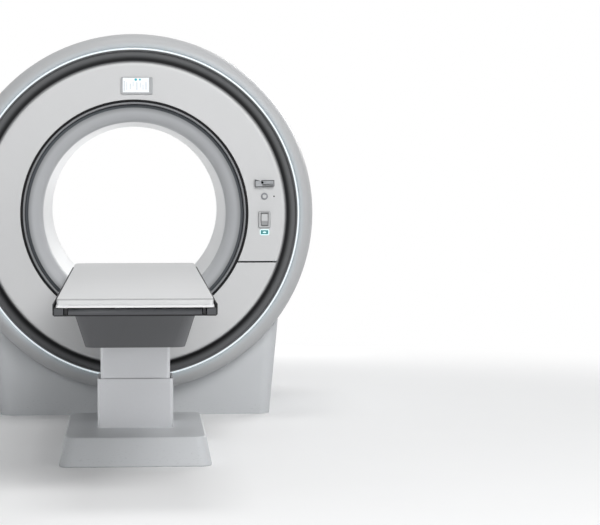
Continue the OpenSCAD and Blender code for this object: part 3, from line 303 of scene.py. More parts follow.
def coat(piece, finish):
    """Gives a piece its finish."""
    piece.data.materials.clear()
    piece.data.materials.append(finish)


def fit(piece, finish, slot, body, *stands_for):
    """Smooths a finished piece, gives it its finish and sets it on its body."""
    work(piece, "TRIANGULATE", keep_custom_normals=True)
    bpy.ops.object.shade_smooth_by_angle(angle=radians(35))
    work(piece, "WEIGHTED_NORMAL", keep_sharp=True)
    coat(piece, finish)
    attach(piece, body)
    if stands_for:
        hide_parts(*stands_for)


def satin(sheet, colour, roughness, drift=0.1, shine=0.3, marks=None):
    """Ends a satin finish: tone that drifts slightly, pigment grain, a faint orange peel, and dull marks if any."""
    tint = sheet.shade(colour, 0.98 + 0.024 * sheet.noise(1.7, 3) + 0.016 * sheet.noise(700, 1))
    rough = roughness + drift * sheet.noise(11, 4)
    if marks:
        tint, rough = sheet.blend(tint, [0.6 * c for c in colour], marks), rough + 0.2 * marks
    return sheet.surface({"Base Color": tint, "Roughness": rough, "Specular IOR Level": shine,
                          "Normal": sheet.bump(sheet.noise(240, 1), 0.06, 0.0004)})


def moulded(name, colour, roughness, scuffed=0.0):
    """Satin moulding, with scuffs low down if it is scuffed."""
    sheet = new_finish(name)
    marks = None
    if scuffed:
        low_down = 1 - sheet.place()[2].ramp(0.02, 0.13)
        marks = sheet.noise(70, 6, (1, 1, 4)).ramp(0.60, 0.70) * low_down * scuffed
    return satin(sheet, colour, roughness, shine=0.35, marks=marks)


def open_for_frame(piece):
    """Cuts the way for the steel frame that carries the magnet."""
    half_width, half_length, top = 0.43, 0.3, 0.3626
    cut(piece, block("frame_opening", (-half_width, -half_length, -1), (half_width, half_length, top)))


foot_front, foot_rear, foot_height = front_face + 0.15, rear_face - 0.06, 0.4202
foot_half_top, foot_half_floor = 0.64, 0.6
foot_finish = moulded("moulded_foot", (0.56, 0.575, 0.59), 0.4, 0.3)
foot = block("gantry_foot", (-foot_half_top, foot_front, 0), (foot_half_top, foot_rear, foot_height))
pick(foot, "verts", lambda v: v.co.z < 0.001)
bpy.ops.transform.resize(value=(foot_half_floor / foot_half_top, 1, 1))
round_off(foot, upright, 0.06, 10)
cut(foot, drum("cradle_cutter", cover_radius + seat_gap, -2, 2, sides=192))
soften(foot, 0.005, 3, 30)
shell(foot, 0, even=False)
open_for_frame(foot)
fit(foot, foot_finish, "foot_grey", "gantry", "base_cover")


# Outer covers: two glass-fibre half shells around the ring, laid up in a mould and painted. The front one ends
# in a convex shoulder whose inner edge is painted lighter and bluer, a painted glow from the ring of light, and
# the rear one slides under the front one's edge, which leaves a narrow open joint round the middle.
def rounded(corners, chords=6):
    """An outline through corners, of which those with a third number are rounded to that radius."""
    path = []
    for i, corner in enumerate(corners):
        p = Vector(corner[:2])
        if len(corner) < 3 or corner[2] == 0:
            path.append(p)
            continue
        a = (Vector(corners[i - 1][:2]) - p).normalized()
        b = (Vector(corners[(i + 1) % len(corners)][:2]) - p).normalized()
        half = a.angle(b) / 2
        start, stop = p + a * corner[2] / tan(half), p + b * corner[2] / tan(half)
        centre = p + (a + b).normalized() * corner[2] / sin(half)
        u, w = (p - centre).normalized(), (stop - start).normalized()
        for k in range(chords + 1):
            sweep = (pi - 2 * half) * (k / chords - 0.5)
            path.append(centre + corner[2] * (u * cos(sweep) + w * sin(sweep)))
    return path


def bow(centre, across, deep, first, last, chords):
    """Part of an ellipse, as points, from the first turn to the last in degrees."""
    turns = [radians(first + (last - first) * k / chords) for k in range(chords + 1)]
    return [(centre[0] + across * cos(t), centre[1] + deep * sin(t)) for t in turns]


def weld():
    """Merges the points that lie on each other."""
    bpy.ops.mesh.select_all(action="SELECT")
    bpy.ops.mesh.remove_doubles(threshold=0.00001)


def closed(piece):
    """Closes a piece that is open for editing, with its faces turned outward."""
    bpy.ops.mesh.select_all(action="SELECT")
    bpy.ops.mesh.normals_make_consistent(inside=False)
    return settle(piece)


def drawn(name, points):
    """A line drawn from point to point, by pulling one corner out again and again."""
    clear()
    bpy.ops.mesh.primitive_plane_add(size=0.001, location=points[0])
    made = just_added(name)
    bpy.ops.object.mode_set(mode="EDIT")
    bpy.ops.mesh.select_mode(type="VERT")
    bpy.ops.mesh.select_all(action="SELECT")
    bpy.ops.mesh.merge(type="CENTER")
    for a, b in zip(points, points[1:]):
        bpy.ops.mesh.extrude_region_move(TRANSFORM_OT_translate={"value": b - a})
    weld()
    return made


def turned(name, outline, from_rear=False, steps=256, x=0.0, z=axis_height):
    """Spins an outline of radius and depth behind a face of the gantry, about an axis through x and z."""
    face, inwards = (rear_face, -1) if from_rear else (front_face, 1)
    points = [Vector((x, face + inwards * d, z + r)) for r, d in outline]
    if outline[0][0] > 0:
        points = points + points[:1]
    made = drawn(name, points)
    bpy.ops.mesh.spin(steps=steps, angle=2 * pi, center=(x, 0, z), axis=(0, 1, 0))
    weld()
    return closed(made)


def inner_wall(path, thickness):
    """The same path moved inwards by the wall's thickness, drawn the other way round."""
    moved = []
    for i, p in enumerate(path):
        a, b = Vector(path[max(i - 1, 0)]), Vector(path[min(i + 1, len(path) - 1)])
        along = (b - a).normalized()
        moved.append((p[0] - thickness * along.y, p[1] + thickness * along.x))
    return moved[::-1]


def off_axis(sheet):
    """How far the point lies from the axis of the bore."""
    x, y, z = sheet.place()
    return x.span(z - axis_height)


light_edge, carrier_rear = 0.725, 0.066
shoulder_front, shoulder_deep, nose = 0.046, 0.092, 0.008
mid_depth, joint_half = 0.525, 0.0015
nose_radius = light_edge + seat_gap
joint_edge = [(cover_radius, mid_depth - joint_half - 0.002), (cover_radius - 0.0015, mid_depth - joint_half)]
shoulder = bow((nose_radius + nose, shoulder_front + shoulder_deep), cover_radius - nose_radius - nose,
               shoulder_deep, -90, 0, 28)
nose_round = bow((nose_radius + nose, shoulder_front + nose), nose, nose, -180, -90, 8)[:-1]
front_cover = turned("outer_cover_front_shell", [(nose_radius, carrier_rear)] + nose_round + shoulder + joint_edge + [
    (cover_radius - wall, mid_depth - joint_half)] + inner_wall(shoulder, wall) + [
    (nose_radius + wall, shoulder_front + nose), (nose_radius + wall, carrier_rear)])
open_for_frame(front_cover)
sheet = new_finish("painted_cover")
# Painted glow: next to the ring of light the front cover's colour turns lighter and bluer, as if lit by the ring.
painted_led_glow = (1 - off_axis(sheet).ramp(light_edge, light_edge + 0.03)) \
    * (1 - sheet.place()[1].ramp(front_face + 0.05, front_face + 0.15))
cover_finish = satin(sheet, sheet.blend((0.465, 0.471, 0.478), (0.50, 0.545, 0.575), painted_led_glow), 0.38, 0.08)
fit(front_cover, cover_finish, "cover_white", "gantry", "outer_cover_front")

rear_edge, rear_deep, rear_pan, rabbet = 0.70, 0.138, 0.05, 0.014
tongue, rear_inside = cover_radius - wall - seat_gap, cover_radius - 2 * wall
shoulder = bow((rear_edge, rear_deep), cover_radius - rear_edge, rear_deep, -90, 0, 28)
rear_cover = turned("outer_cover_rear_shell", [(rear_edge, rear_pan), (rear_edge, 0.002), (rear_edge + 0.002, 0)]
                    + shoulder[1:] + joint_edge + [
    (tongue, mid_depth - joint_half), (tongue, mid_depth + joint_half + rabbet),
    (rear_inside, mid_depth + joint_half + rabbet), (rear_inside, mid_depth - rabbet),
    (cover_radius - wall, mid_depth - rabbet)]
    + [p for p in inner_wall(shoulder, wall) if p[0] > rear_edge + wall] + [
    (rear_edge + wall, wall), (rear_edge + wall, rear_pan)], from_rear=True)
open_for_frame(rear_cover)
fit(rear_cover, cover_finish, "cover_white", "gantry", "outer_cover_rear")


# Face plate: a flat ring pressed and painted pale grey, with a rounded outer edge that stands free in front of
# the groove. Its lower right quarter is a service panel on its own fasteners, behind a dark open seam.
gasket_edge, face_edge, face_depth = 0.498, 0.661, 0.06
seam_half, seam_drop = 0.0035, 0.213
control_x, indicator_x, window_gap, window_deep, clear_of = 0.5685, 0.6105, 0.0005, 0.03, 0.02
holder_z, round_z, rocker_z, start_z = (axis_height + up for up in (0.131, 0.075, -0.027, -0.083))
display_x, display_z = 0.011, axis_height + 0.5585
display_body, holder_body, rocker_body, start_body = (0.125, 0.061), (0.077, 0.022), (0.043, 0.063), (0.0362, 0.0212)
sheet = new_finish("painted_face")
# Painted shade: the face plate darkens towards its rounded outer edge, where it turns away into the groove.
painted_edge_shade = off_axis(sheet).ramp(0.652, 0.664)
face_finish = satin(sheet, sheet.blend((0.635, 0.638, 0.642), (0.22, 0.22, 0.225), painted_edge_shade), 0.41)


def pan(inner, outer, deep, inner_round, outer_round, chords):
    """The section of a pressed ring whose edges are turned back, and rounded in front."""
    return rounded([
        (inner, deep), (inner, 0, inner_round), (outer, 0, outer_round), (outer, deep), (outer - wall, deep),
        (outer - wall, wall, max(outer_round - wall, 0)), (inner + wall, wall), (inner + wall, deep)], chords)


def quarter(grown):
    """The space of the lower right quarter, grown on its two seam sides."""
    return block("quarter", (-grown, front_face - 0.05, axis_height - 1),
                 (1, front_face + 0.2, axis_height - seam_drop + grown))


def plate(name, x, z, width, height, out, deep, corner=0.0, edge=0.0):
    """A plate about x and z, from out in front of the gantry's face to deep behind it, with round corners."""
    made = block(name, (x - width / 2, front_face - out, z - height / 2),
                 (x + width / 2, front_face + deep, z + height / 2))
    if corner:
        round_off(made, lengthways, corner)
    if edge:
        round_off(made, lambda e: all(abs(v.co.y - front_face + out) < 1e-5 for v in e.verts), edge, 3)
    return settle(made)


face_outline = pan(gasket_edge, face_edge, face_depth, 0.0015, 0.016, 8)
face_plate = turned("face_plate", face_outline)
cut(face_plate, quarter(seam_half))
soften(face_plate, 0.0008)
for window_x, window_z, (width, height) in ((display_x, display_z, display_body), (control_x, holder_z, holder_body),
                                            (control_x, rocker_z, rocker_body), (control_x, start_z, start_body)):
    cut(face_plate, plate("window", window_x, window_z, width + 2 * window_gap, height + 2 * window_gap,
                          clear_of, window_deep))
for window_x, radius in ((control_x, 0.0125), (indicator_x, 0.0035)):
    cut(face_plate, drum("round_window", radius, front_face - clear_of, front_face + window_deep, window_x, round_z))
fit(face_plate, face_finish, "face_white", "gantry", "front_face_panel")
service_panel = turned("service_panel", face_outline)
cut(service_panel, quarter(-seam_half), "INTERSECT")
soften(service_panel, 0.0008)
fit(service_panel, face_finish, "face_white", "gantry", "front_service_panel")


# Carrier and front rings: a dark pressed carrier closes the gantry behind the face plate and shows as the
# groove around it. It carries an opal ring of light outside, and inside the face plate a black rubber gasket,
# a satin bead of trim and a dark recess, one within the other. Rubber strips seal the service panel's seam,
# and their black darkens it as painted shade.
def matt(sheet, tint, roughness, drift=0.1, grain=0.0003):
    """Ends the finish of a matt dark moulding, with the fine grain of a spark-eroded mould."""
    tone = 0.9 + 0.14 * sheet.noise(4, 3) + 0.06 * sheet.noise(520, 2)
    return sheet.coated(tint, tone, roughness + drift * sheet.noise(18, 3), 0.2, (900, 2, 0.25, grain))


def ring(inner, outer, front, inner_round, outer_round):
    """The section of a solid ring that stands on the carrier, rounded in front."""
    return rounded([
        (inner, face_depth), (inner, front, inner_round), (outer, front, outer_round), (outer, face_depth)])


def plain_matt(name, colour, roughness, grain):
    return matt(new_finish(name), colour, roughness, 0.12, grain)


flare_edge, recess_edge, trim_edge, channel_edge = 0.463, 0.478, 0.487, 0.716
channel_wall, channel_floor = channel_edge - 0.0047, 0.05
carrier = turned("groove_carrier", rounded([
    (flare_edge - wall, face_depth), (channel_wall, face_depth, 0.004),
    (channel_wall, channel_floor, 0.002), (channel_edge - seat_gap, channel_floor, 0.001),
    (channel_edge - seat_gap, face_depth), (light_edge, face_depth), (light_edge, carrier_rear),
    (flare_edge - wall, carrier_rear)]), steps=192)
sheet = new_finish("dark_groove")
from_axis = off_axis(sheet)
# Painted shade: the groove is near black next to the face plate, where that plate's edge shades it, and dark grey
# further out.
tint = sheet.blend((0.010, 0.010, 0.011), (0.135, 0.138, 0.142), from_axis.ramp(0.676, 0.700))
# Painted reflection: a lighter grey band just outside the face plate's edge stands in for that rounded edge's light.
tint = sheet.blend((0.34, 0.345, 0.35), tint, from_axis.ramp(face_edge, face_edge + 0.011))
groove_finish = sheet.coated(tint, 0.92 + 0.16 * sheet.noise(300, 2), 0.5 + 0.1 * sheet.noise(18, 3), 0.15,
                             (900, 2, 0.2, 0.0003))
fit(carrier, groove_finish, "carrier_dark", "gantry", "front_carrier_ring")


def lit(sheet, colour, light, tone, roughness, strength):
    """Ends the finish of a clear or opal moulding that a lamp behind it lights."""
    return sheet.surface({
        "Base Color": sheet.shade(colour, tone), "Roughness": roughness,
        "Emission Color": sheet.shade(light, tone), "Emission Strength": strength})


sheet = new_finish("lit_opal")
glow = (0.96 + 0.08 * sheet.noise(60, 1)) * off_axis(sheet).ramp(channel_edge, channel_edge + 0.0035)
fit(turned("ring_of_light", ring(channel_edge, light_edge, 0.048, 0.003, 0.003)),
    lit(sheet, (0.52, 0.54, 0.55), (0.86, 0.95, 1.0), glow, 0.35, 0.55), "light_white", "gantry", "front_light_ring")

rubber = plain_matt("black_rubber", (0.010, 0.010, 0.011), 0.64, 0.0002)
fit(turned("face_gasket", ring(trim_edge + seat_gap, gasket_edge - seat_gap, 0.0012, 0.003, 0.003)),
    rubber, "gasket_black", "gantry", "bore_gasket")
# The strips are black rubber behind the seam. Their black also darkens the open seam, as painted shade for the gap.
for name, low, high in (("seam_seal", (0.462, -0.2205), (0.606, -0.2055)),
                        ("lower_seam_seal", (-0.0075, -0.642), (0.0075, -0.506))):
    seal = block(name, (low[0], front_face + wall + seat_gap, axis_height + low[1]),
                 (high[0], front_face + 0.009, axis_height + high[1]))
    soften(seal, 0.001, angle=40)
    fit(seal, rubber, "gasket_black", "gantry")
fit(turned("trim_bead", [(recess_edge, face_depth)] + bow(
    (recess_edge + 0.0045, 0.003), 0.0045, 0.006, -180, 0, 12) + [(trim_edge, face_depth)]),
    plain_matt("grey_bead", (0.25, 0.255, 0.265), 0.34, 0.0001), "trim_grey", "gantry", "bore_trim_ring")
fit(turned("dark_recess", ring(flare_edge + seat_gap, recess_edge - seat_gap, 0.014, 0, 0.005), steps=192),
    plain_matt("recess_grey", (0.088, 0.096, 0.106), 0.44, 0.0002), "recess_dark", "gantry", "bore_recess_ring")


# Bore: a bell-shaped flare of satin grey leads into the pale liner, a rolled glass-fibre tube whose radius
# shrinks by nine millimetres to the rear, where a second flare opens out again. They meet at fine seams.
def bell(bore, rim, deep, lip):
    """The flare's visible curve from its rim down into the bore."""
    a, b = Vector((rim, lip)), Vector((rim - 0.62 * (rim - bore), lip + 0.14 * deep))
    c, d = Vector((bore, lip + 0.36 * deep)), Vector((bore, deep))
    return [tuple((1 - t) ** 3 * a + 3 * (1 - t) ** 2 * t * b + 3 * (1 - t) * t * t * c + t ** 3 * d)
            for t in (k / 28 for k in range(29))]


def flare_outline(bore, rim, deep, seat, lip=0.004):
    curve = bell(bore, rim, deep, lip)
    back = [(r, min(d, deep)) for r, d in inner_wall(curve, -wall) if r < rim - wall - 0.001]
    return [(rim, seat)] + curve + back + [(rim - wall, lip + 2 * wall), (rim - wall, seat)]


bore_front, bore_rear, liner_wall, liner_end, rear_rim = 0.4, 0.391, 0.004, 0.929, 0.451
sheet = new_finish("satin_flare")
from_axis = off_axis(sheet)
# Painted highlight: the flare is lighter towards its inner edge, where it rounds into the liner and catches light.
tint = sheet.blend((0.56, 0.57, 0.585), (0.455, 0.465, 0.48), from_axis.ramp(0.401, 0.422))
# Painted shade: the flare darkens towards its outer rim beside the recess.
flare_finish = satin(sheet, sheet.blend(tint, (0.25, 0.257, 0.266), from_axis.ramp(0.440, 0.467)), 0.36)
fit(turned("front_bell_mouth", flare_outline(bore_front, flare_edge, face_depth, face_depth)),
    flare_finish, "flare_grey", "gantry", "front_flare")
fit(turned("bore_tube", [
    (bore_front, face_depth), (bore_front + liner_wall, face_depth), (bore_rear + liner_wall, liner_end),
    (bore_rear, liner_end)]),
    moulded("pale_liner", (0.80, 0.808, 0.813), 0.33), "liner_white", "gantry", "bore_liner")
rear_flare_deep = rear_face - front_face - liner_end
fit(turned("rear_bell_mouth", flare_outline(bore_rear, rear_rim, rear_flare_deep, rear_pan), from_rear=True),
    flare_finish, "flare_grey", "gantry", "rear_flare")


# Rear of the gantry: a plain painted plate with rounded edges, held by eight low screws, and the slotted grille
# through which the cooling air leaves.
rear_plate = turned("rear_plate", pan(rear_rim + seat_gap, rear_edge - seat_gap, rear_pan, 0.003, 0.003, 4),
                    from_rear=True, steps=192)
vent_height, vent_half_width, vent_half_height, vent_edge = axis_height + 0.575, 0.15, 0.045, 0.01


def at_vent(name, half_width, half_height, front, rear, up=0.0):
    """A block about the middle of the vent, or a little up from it."""
    return block(name, (-half_width, rear_face + front, vent_height + up - half_height),
                 (half_width, rear_face + rear, vent_height + up + half_height))


cut(rear_plate, at_vent("vent_hole", vent_half_width - vent_edge, vent_half_height - vent_edge, -clear_of, clear_of))
fit(rear_plate, moulded("rear_paint", (0.635, 0.638, 0.642), 0.41), "face_white", "gantry", "rear_face_panel")
grille = at_vent("vent_grille", vent_half_width, vent_half_height, 0, 0.003)
round_off(grille, lengthways, vent_edge)
soften(grille, 0.0012, 3, 40)
slots, slot_pitch, slot_half, slot_half_height = 7, 0.06 / 7, 0.13, 0.55 * 0.03 / 7
for i in range(slots):
    up = (i - (slots - 1) / 2) * slot_pitch
    cut(grille, at_vent("slot", slot_half, slot_half_height, -clear_of, clear_of, up))
fit(grille, plain_matt("grille_grey", (0.3, 0.31, 0.32), 0.44, 0.0003), "grille_grey", "gantry", "rear_vent_grille")


def metal(name, colour, roughness, along, grain=40, depth=0.00006):
    """Metal drawn or brushed along one direction: the short side of along is the direction of the strokes."""
    sheet = new_finish(name)
    strokes = sheet.noise(grain, 4, along)
    return sheet.surface({
        "Base Color": sheet.shade(colour, 0.93 + 0.14 * strokes), "Metallic": 1.0,
        "Roughness": roughness - 0.08 + 0.16 * strokes + 0.06 * sheet.noise(9, 3),
        "Normal": sheet.bump(strokes, 0.3, depth)})


def copied(piece, name):
    """A copy of a piece with a mesh of its own."""
    clear()
    copy = piece.copy()
    copy.data = piece.data.copy()
    copy.name = copy.data.name = name
    bpy.context.scene.collection.objects.link(copy)
    return copy


stainless = metal("brushed_stainless", (0.62, 0.63, 0.65), 0.34, (2, 60, 60))
screw_radius, screw_thick, screw_circle, screws = 0.007, 0.003, 0.665, 8
clear()
bpy.ops.mesh.primitive_cylinder_add(vertices=32, radius=screw_radius, depth=screw_thick, rotation=(pi / 2, 0, 0))
screw = just_added("rear_screw")
pick(screw, "faces", lambda f: len(f.verts) > 4 and f.normal.z > 0.5)
bpy.ops.mesh.inset(thickness=0.0036)
bpy.ops.mesh.extrude_region_move(TRANSFORM_OT_translate={"value": (0, 0.0018, 0)})
soften(screw, 0.0005)
for i in range(screws):
    turn = 2 * pi * (i + 0.5) / screws
    copy = copied(screw, f"rear_screw_{i + 1}")
    copy.location = (screw_circle * cos(turn), rear_face + 0.0012, axis_height + screw_circle * sin(turn))
    copy.rotation_euler = (-pi / 2, 0, 0)
    fit(settle(copy), stainless, "stainless", "gantry")
bpy.data.objects.remove(screw)


# What the covers hide: the welded and painted steel frame, the stainless vessel of the magnet with its coils on
# an aluminium former, the cast gradient coil, the copper radio coil on its former, the cold head on top, and
# the standoffs and brackets that hold the covers.
def painted_steel(name, colour):
    """Wet-painted steel: orange peel, with bare flecks where it has been knocked."""
    sheet = new_finish(name)
    chips = sheet.noise(34, 6).ramp(0.74, 0.78)
    return sheet.surface({
        "Base Color": sheet.blend(sheet.shade(colour, 0.93 + 0.14 * sheet.noise(6, 3)), (0.45, 0.45, 0.46), chips),
        "Metallic": chips, "Roughness": 0.38 + 0.12 * sheet.noise(20, 3),
        "Normal": sheet.bump(sheet.noise(160, 2) - 0.5 * chips, 0.2, 0.0004)})


def give(finish, slot, *names):
    """Puts a finish on CAD nodes that stay as they are."""
    for name in names:
        coat(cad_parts[name], finish)


steel_grey = painted_steel("painted_steel", (0.25, 0.28, 0.31))
aluminium = metal("machined_aluminium", (0.72, 0.73, 0.75), 0.3, (4, 60, 60))
chrome = metal("hard_chrome", (0.8, 0.8, 0.82), 0.16, (60, 60, 3), 20, 0.00002)
give(steel_grey, "steel_painted", "gantry_frame", "column_head_plate", "table_base_plate")
give(stainless, "stainless", "magnet_vessel", "cold_head")
give(aluminium, "aluminium", "coil_former", "front_standoffs", "rear_standoffs", "cover_brackets")
give(metal("wound_copper", (0.72, 0.42, 0.25), 0.36, (2, 90, 90)), "copper", "main_coils", "rf_body_coil")
give(moulded("cast_epoxy", (0.55, 0.45, 0.26), 0.45), "coil_epoxy", "gradient_coil", "rf_coil_former")


# Display: a pale housing seated in the face plate above the bore, with a lit white screen behind its clear
# cover. The fields on it are plain: two lit dots at the top, and faint columns of readings below.
def join(piece, other):
    """Makes a second form one with a piece."""
    cut(piece, other, "UNION")


display_out, plate_corner, body_corner, key_corner = 0.006, 0.005, 0.0025, 0.002
embed, control_depth = 0.0005, 0.022
screen_x, screen_z, screen_width, screen_height = display_x - 0.004, display_z + 0.0025, 0.115, 0.063


def control_body(x, z, size):
    """What holds a control in its window: a block that starts in the control's front and goes back."""
    return plate("control_body", x, z, *size, embed, control_depth, body_corner)


def framed(name, x, z, size, out, edge, body, well, well_depth):
    """A control's frame: its front, its body, and the well in it for the screen or key."""
    made = plate(name, x, z, *size, out, 0, plate_corner, edge)
    join(made, control_body(x, z, body))
    cut(made, plate("well", *well, clear_of, well_depth, key_corner))
    return made


housing = framed("display_frame", display_x, display_z, (0.138, 0.074), display_out, 0.0012, display_body,
                 (screen_x, screen_z, screen_width + 2 * seat_gap, screen_height + 2 * seat_gap), 0)
fit(housing, moulded("display_moulding", (0.43, 0.44, 0.45), 0.35), "display_white", "gantry", "display_housing")
screen = plate("display_glass", screen_x, screen_z, screen_width, screen_height, display_out - 0.001, 0,
               key_corner, 0.0006)
sheet = new_finish("lit_screen")
x, y, z = sheet.place()
across, up = x - screen_x, z - screen_z


def dot(x0, z0, radius):
    return 1 - (across - x0).span(up - z0).ramp(0.8 * radius, 1.2 * radius)


def column(x0, low, high, half_width):
    return (1 - abs(across - x0).ramp(half_width * 0.8, half_width * 1.2)) \
        * up.ramp(low - 0.0008, low + 0.0008) * (1 - up.ramp(high - 0.0008, high + 0.0008))


readings = sum(column(*sizes) for sizes in (
    (-0.0505, -0.026, 0.018, 0.0026), (-0.040, -0.021, 0.012, 0.0016), (-0.024, -0.017, 0.006, 0.0022),
    (-0.012, -0.006, 0.014, 0.0016), (0.004, -0.021, 0.012, 0.0026), (0.020, -0.011, 0.010, 0.0018),
    (0.031, -0.020, 0.0, 0.0018), (0.044, -0.020, 0.013, 0.0026)))
line_pitch = 0.0058
turns = (z - axis_height) * (2 * pi / line_pitch)
readings = readings * (0.45 + 0.55 * z.math("SINE", turns).ramp(-0.3, 0.5))
dots = dot(-0.0005, 0.0235, 0.0056) + dot(0.0175, 0.0235, 0.0042)
shown = sheet.blend(sheet.blend((0.93, 0.97, 1.0), (0.60, 0.66, 0.69), readings), (0.02, 0.45, 0.53), dots)
fit(screen, sheet.surface({
    "Base Color": (0.03, 0.03, 0.03, 1), "Roughness": 0.12, "Emission Color": shown,
    "Emission Strength": 1.0}), "screen", "gantry", "display_screen")


# Handset holder and jack: a grey moulded cradle for the patient's call handset, notched at its upper left where
# the lead passes, with a slot for the handset's hook. The lead plugs into the black jack in it.
def pulled(name, outline, low, high, along_x=False):
    """Traces a closed outline, fills it, and pulls the face out from low to high along Y, or along X."""
    def at(point, depth):
        return Vector((depth, *point) if along_x else (point[0], depth, point[1]))

    made = drawn(name, [at(point, low) for point in outline])
    bpy.ops.mesh.edge_face_add()
    bpy.ops.mesh.extrude_region_move(TRANSFORM_OT_translate={"value": at((0, 0), high - low)})
    return closed(made)


def from_middle(sheet, height):
    """How far the point lies from the middle of a control, aside and above or below."""
    x, y, z = sheet.place()
    return abs(x - control_x), abs(z - height)


def handled(sheet, tint, uneven, roughness, drift, shine, relief):
    """Ends the finish of a moulding that hands touch: uneven in tone, and duller and brighter in places."""
    tone = 1 - uneven / 2 + uneven * sheet.noise(500, 2)
    return sheet.coated(tint, tone, roughness + drift * sheet.noise(30, 2), shine, relief)


holder_half, holder_half_height, holder_out, holder_horn = 0.0425, 0.015, 0.014, 0.003
jack_x, jack_z, jack_bore, jack_radius, jack_out = control_x - 0.01, holder_z + 0.004, 0.0032, 0.005, 0.015
key_depth, bevel = control_depth - 0.004, 0.004
control_grey = plain_matt("control_grey", (0.30, 0.31, 0.325), 0.39, 0.00015)
control_dark = plain_matt("control_dark", (0.022, 0.024, 0.028), 0.39, 0.00015)
control_pale = moulded("control_pale", (0.60, 0.605, 0.61), 0.35)
notch = jack_x - jack_radius - 0.0006 - control_x
holder = pulled("handset_cradle", [(control_x + a, holder_z + b) for a, b in (
    (-holder_half, -holder_half_height), (holder_half - bevel, -holder_half_height),
    (holder_half, bevel - holder_half_height), (holder_half, holder_half_height),
    (notch + 0.003, holder_half_height), (notch, holder_half_height - 0.003),
    (-holder_half, holder_half_height + holder_horn))], front_face - holder_out, front_face)
soften(holder, 0.0009, angle=40)
join(holder, control_body(control_x, holder_z, holder_body))
hook_slot = block("hook_slot", (control_x - 0.0095, front_face - clear_of, holder_z - 0.011),
                  (control_x + 0.0365, front_face - 0.004, holder_z - 0.003))
round_off(hook_slot, lengthways, 0.0015, 3)
cut(holder, hook_slot)
cut(holder, drum("jack_hole", jack_radius + seat_gap, front_face - clear_of, front_face + key_depth, jack_x, jack_z))
sheet = new_finish("cradle_grey")
aside, above = from_middle(sheet, holder_z)
deep = (sheet.place()[1] - front_face + holder_out).ramp(0.002, 0.009)
# Painted shade: the cradle turns much darker along its outer edges, standing in for the shade at its sides.
painted_border_shade = aside.ramp(holder_half - 0.0045, holder_half - 0.0015).larger(
    above.ramp(holder_half_height - 0.0045, holder_half_height - 0.002))
tint = sheet.blend(sheet.blend((0.40, 0.41, 0.425), (0.06, 0.062, 0.066), painted_border_shade), (0.38, 0.385, 0.39), deep)
fit(holder, handled(sheet, tint, 0.12, 0.4, 0.1, 0.3, (900, 2, 0.2, 0.0002)),
    "control_grey", "gantry", "handset_holder")
fit(turned("call_jack", [(0, 0), (jack_bore, 0), (jack_bore, 0.0004 - jack_out), (jack_bore + 0.0004, -jack_out),
                         (jack_radius - 0.0006, -jack_out), (jack_radius, 0.0006 - jack_out),
                         (jack_radius, key_depth), (0, key_depth)], steps=48, x=jack_x, z=jack_z),
    control_dark, "jack_black", "gantry", "handset_jack")


# Round button with its indicator: a grey turned bezel clipped into the face plate, a pale dished push button
# that moves three millimetres in it, and a small dark indicator lens beside it.
bezel_radius, bezel_out, bezel_neck = 0.0155, 0.004, 0.0122
button_radius, button_out, button_deep = 0.0085, 0.005, 0.014
fit(turned("round_bezel", [(0, key_depth)] + rounded([
    (button_radius + seat_gap, key_depth), (button_radius + seat_gap, -bezel_out, 0.001),
    (bezel_radius, -bezel_out, 0.0022), (bezel_radius, 0), (bezel_neck, 0),
    (bezel_neck, control_depth), (0, control_depth)], 4),
    steps=64, x=control_x, z=round_z), control_grey, "control_pale", "gantry", "round_button_bezel")
fit(turned("round_key", [(0, -0.0042), (0.004, -0.0044), (0.0068, -0.0049)] + rounded([
    (0.0068, -0.0049), (button_radius, -button_out, 0.0006), (button_radius, button_deep), (0, button_deep)], 3)[1:],
    steps=64, x=control_x, z=round_z), control_pale, "control_grey", "round_button", "round_button")
fit(turned("indicator_lens", [(0, -0.0015), (0.0018, -0.0014), (0.0028, -0.0009), (0.0032, -0.0002),
                              (0.0032, control_depth), (0, control_depth)], steps=32, x=indicator_x, z=round_z),
    control_dark, "jack_black", "gantry", "indicator_lamp")


# Table rocker: a pale frame with the grey rocker key in it. Its top end raises the table and its lower end
# lowers it. The key turns on a pin, and a ridge across it can be felt with the thumb.
rocker_half, rocker_half_height, rocker_out = 0.015, 0.0265, 0.008
pin_radius, pin_half, pin_deep = 0.0025, 0.019, 0.002
frame_width, frame_height, play_aside, play_above = 0.052, 0.072, 0.0008, 0.0013


def pin(name, grown):
    """The rocker's pin across its frame, or the hole for it."""
    circle = bow((front_face + pin_deep, rocker_z), pin_radius + grown, pin_radius + grown, 0, 360, 32)[:-1]
    return pulled(name, circle, control_x - pin_half - grown, control_x + pin_half + grown, True)


surround = framed(
    "rocker_surround", control_x, rocker_z, (frame_width, frame_height), rocker_out, 0.0018, rocker_body,
    (control_x, rocker_z, 2 * (rocker_half + play_aside), 2 * (rocker_half_height + play_above)), key_depth)
cut(surround, pin("pin_hole", seat_gap))
sheet = new_finish("surround_pale")
aside, above = from_middle(sheet, rocker_z)
# Painted shade: the frame is darker in the gap round the key.
well = (1 - aside.ramp(rocker_half + play_aside, rocker_half + 2 * play_aside)) \
    * (1 - above.ramp(rocker_half_height + play_above, rocker_half_height + play_above + play_aside))
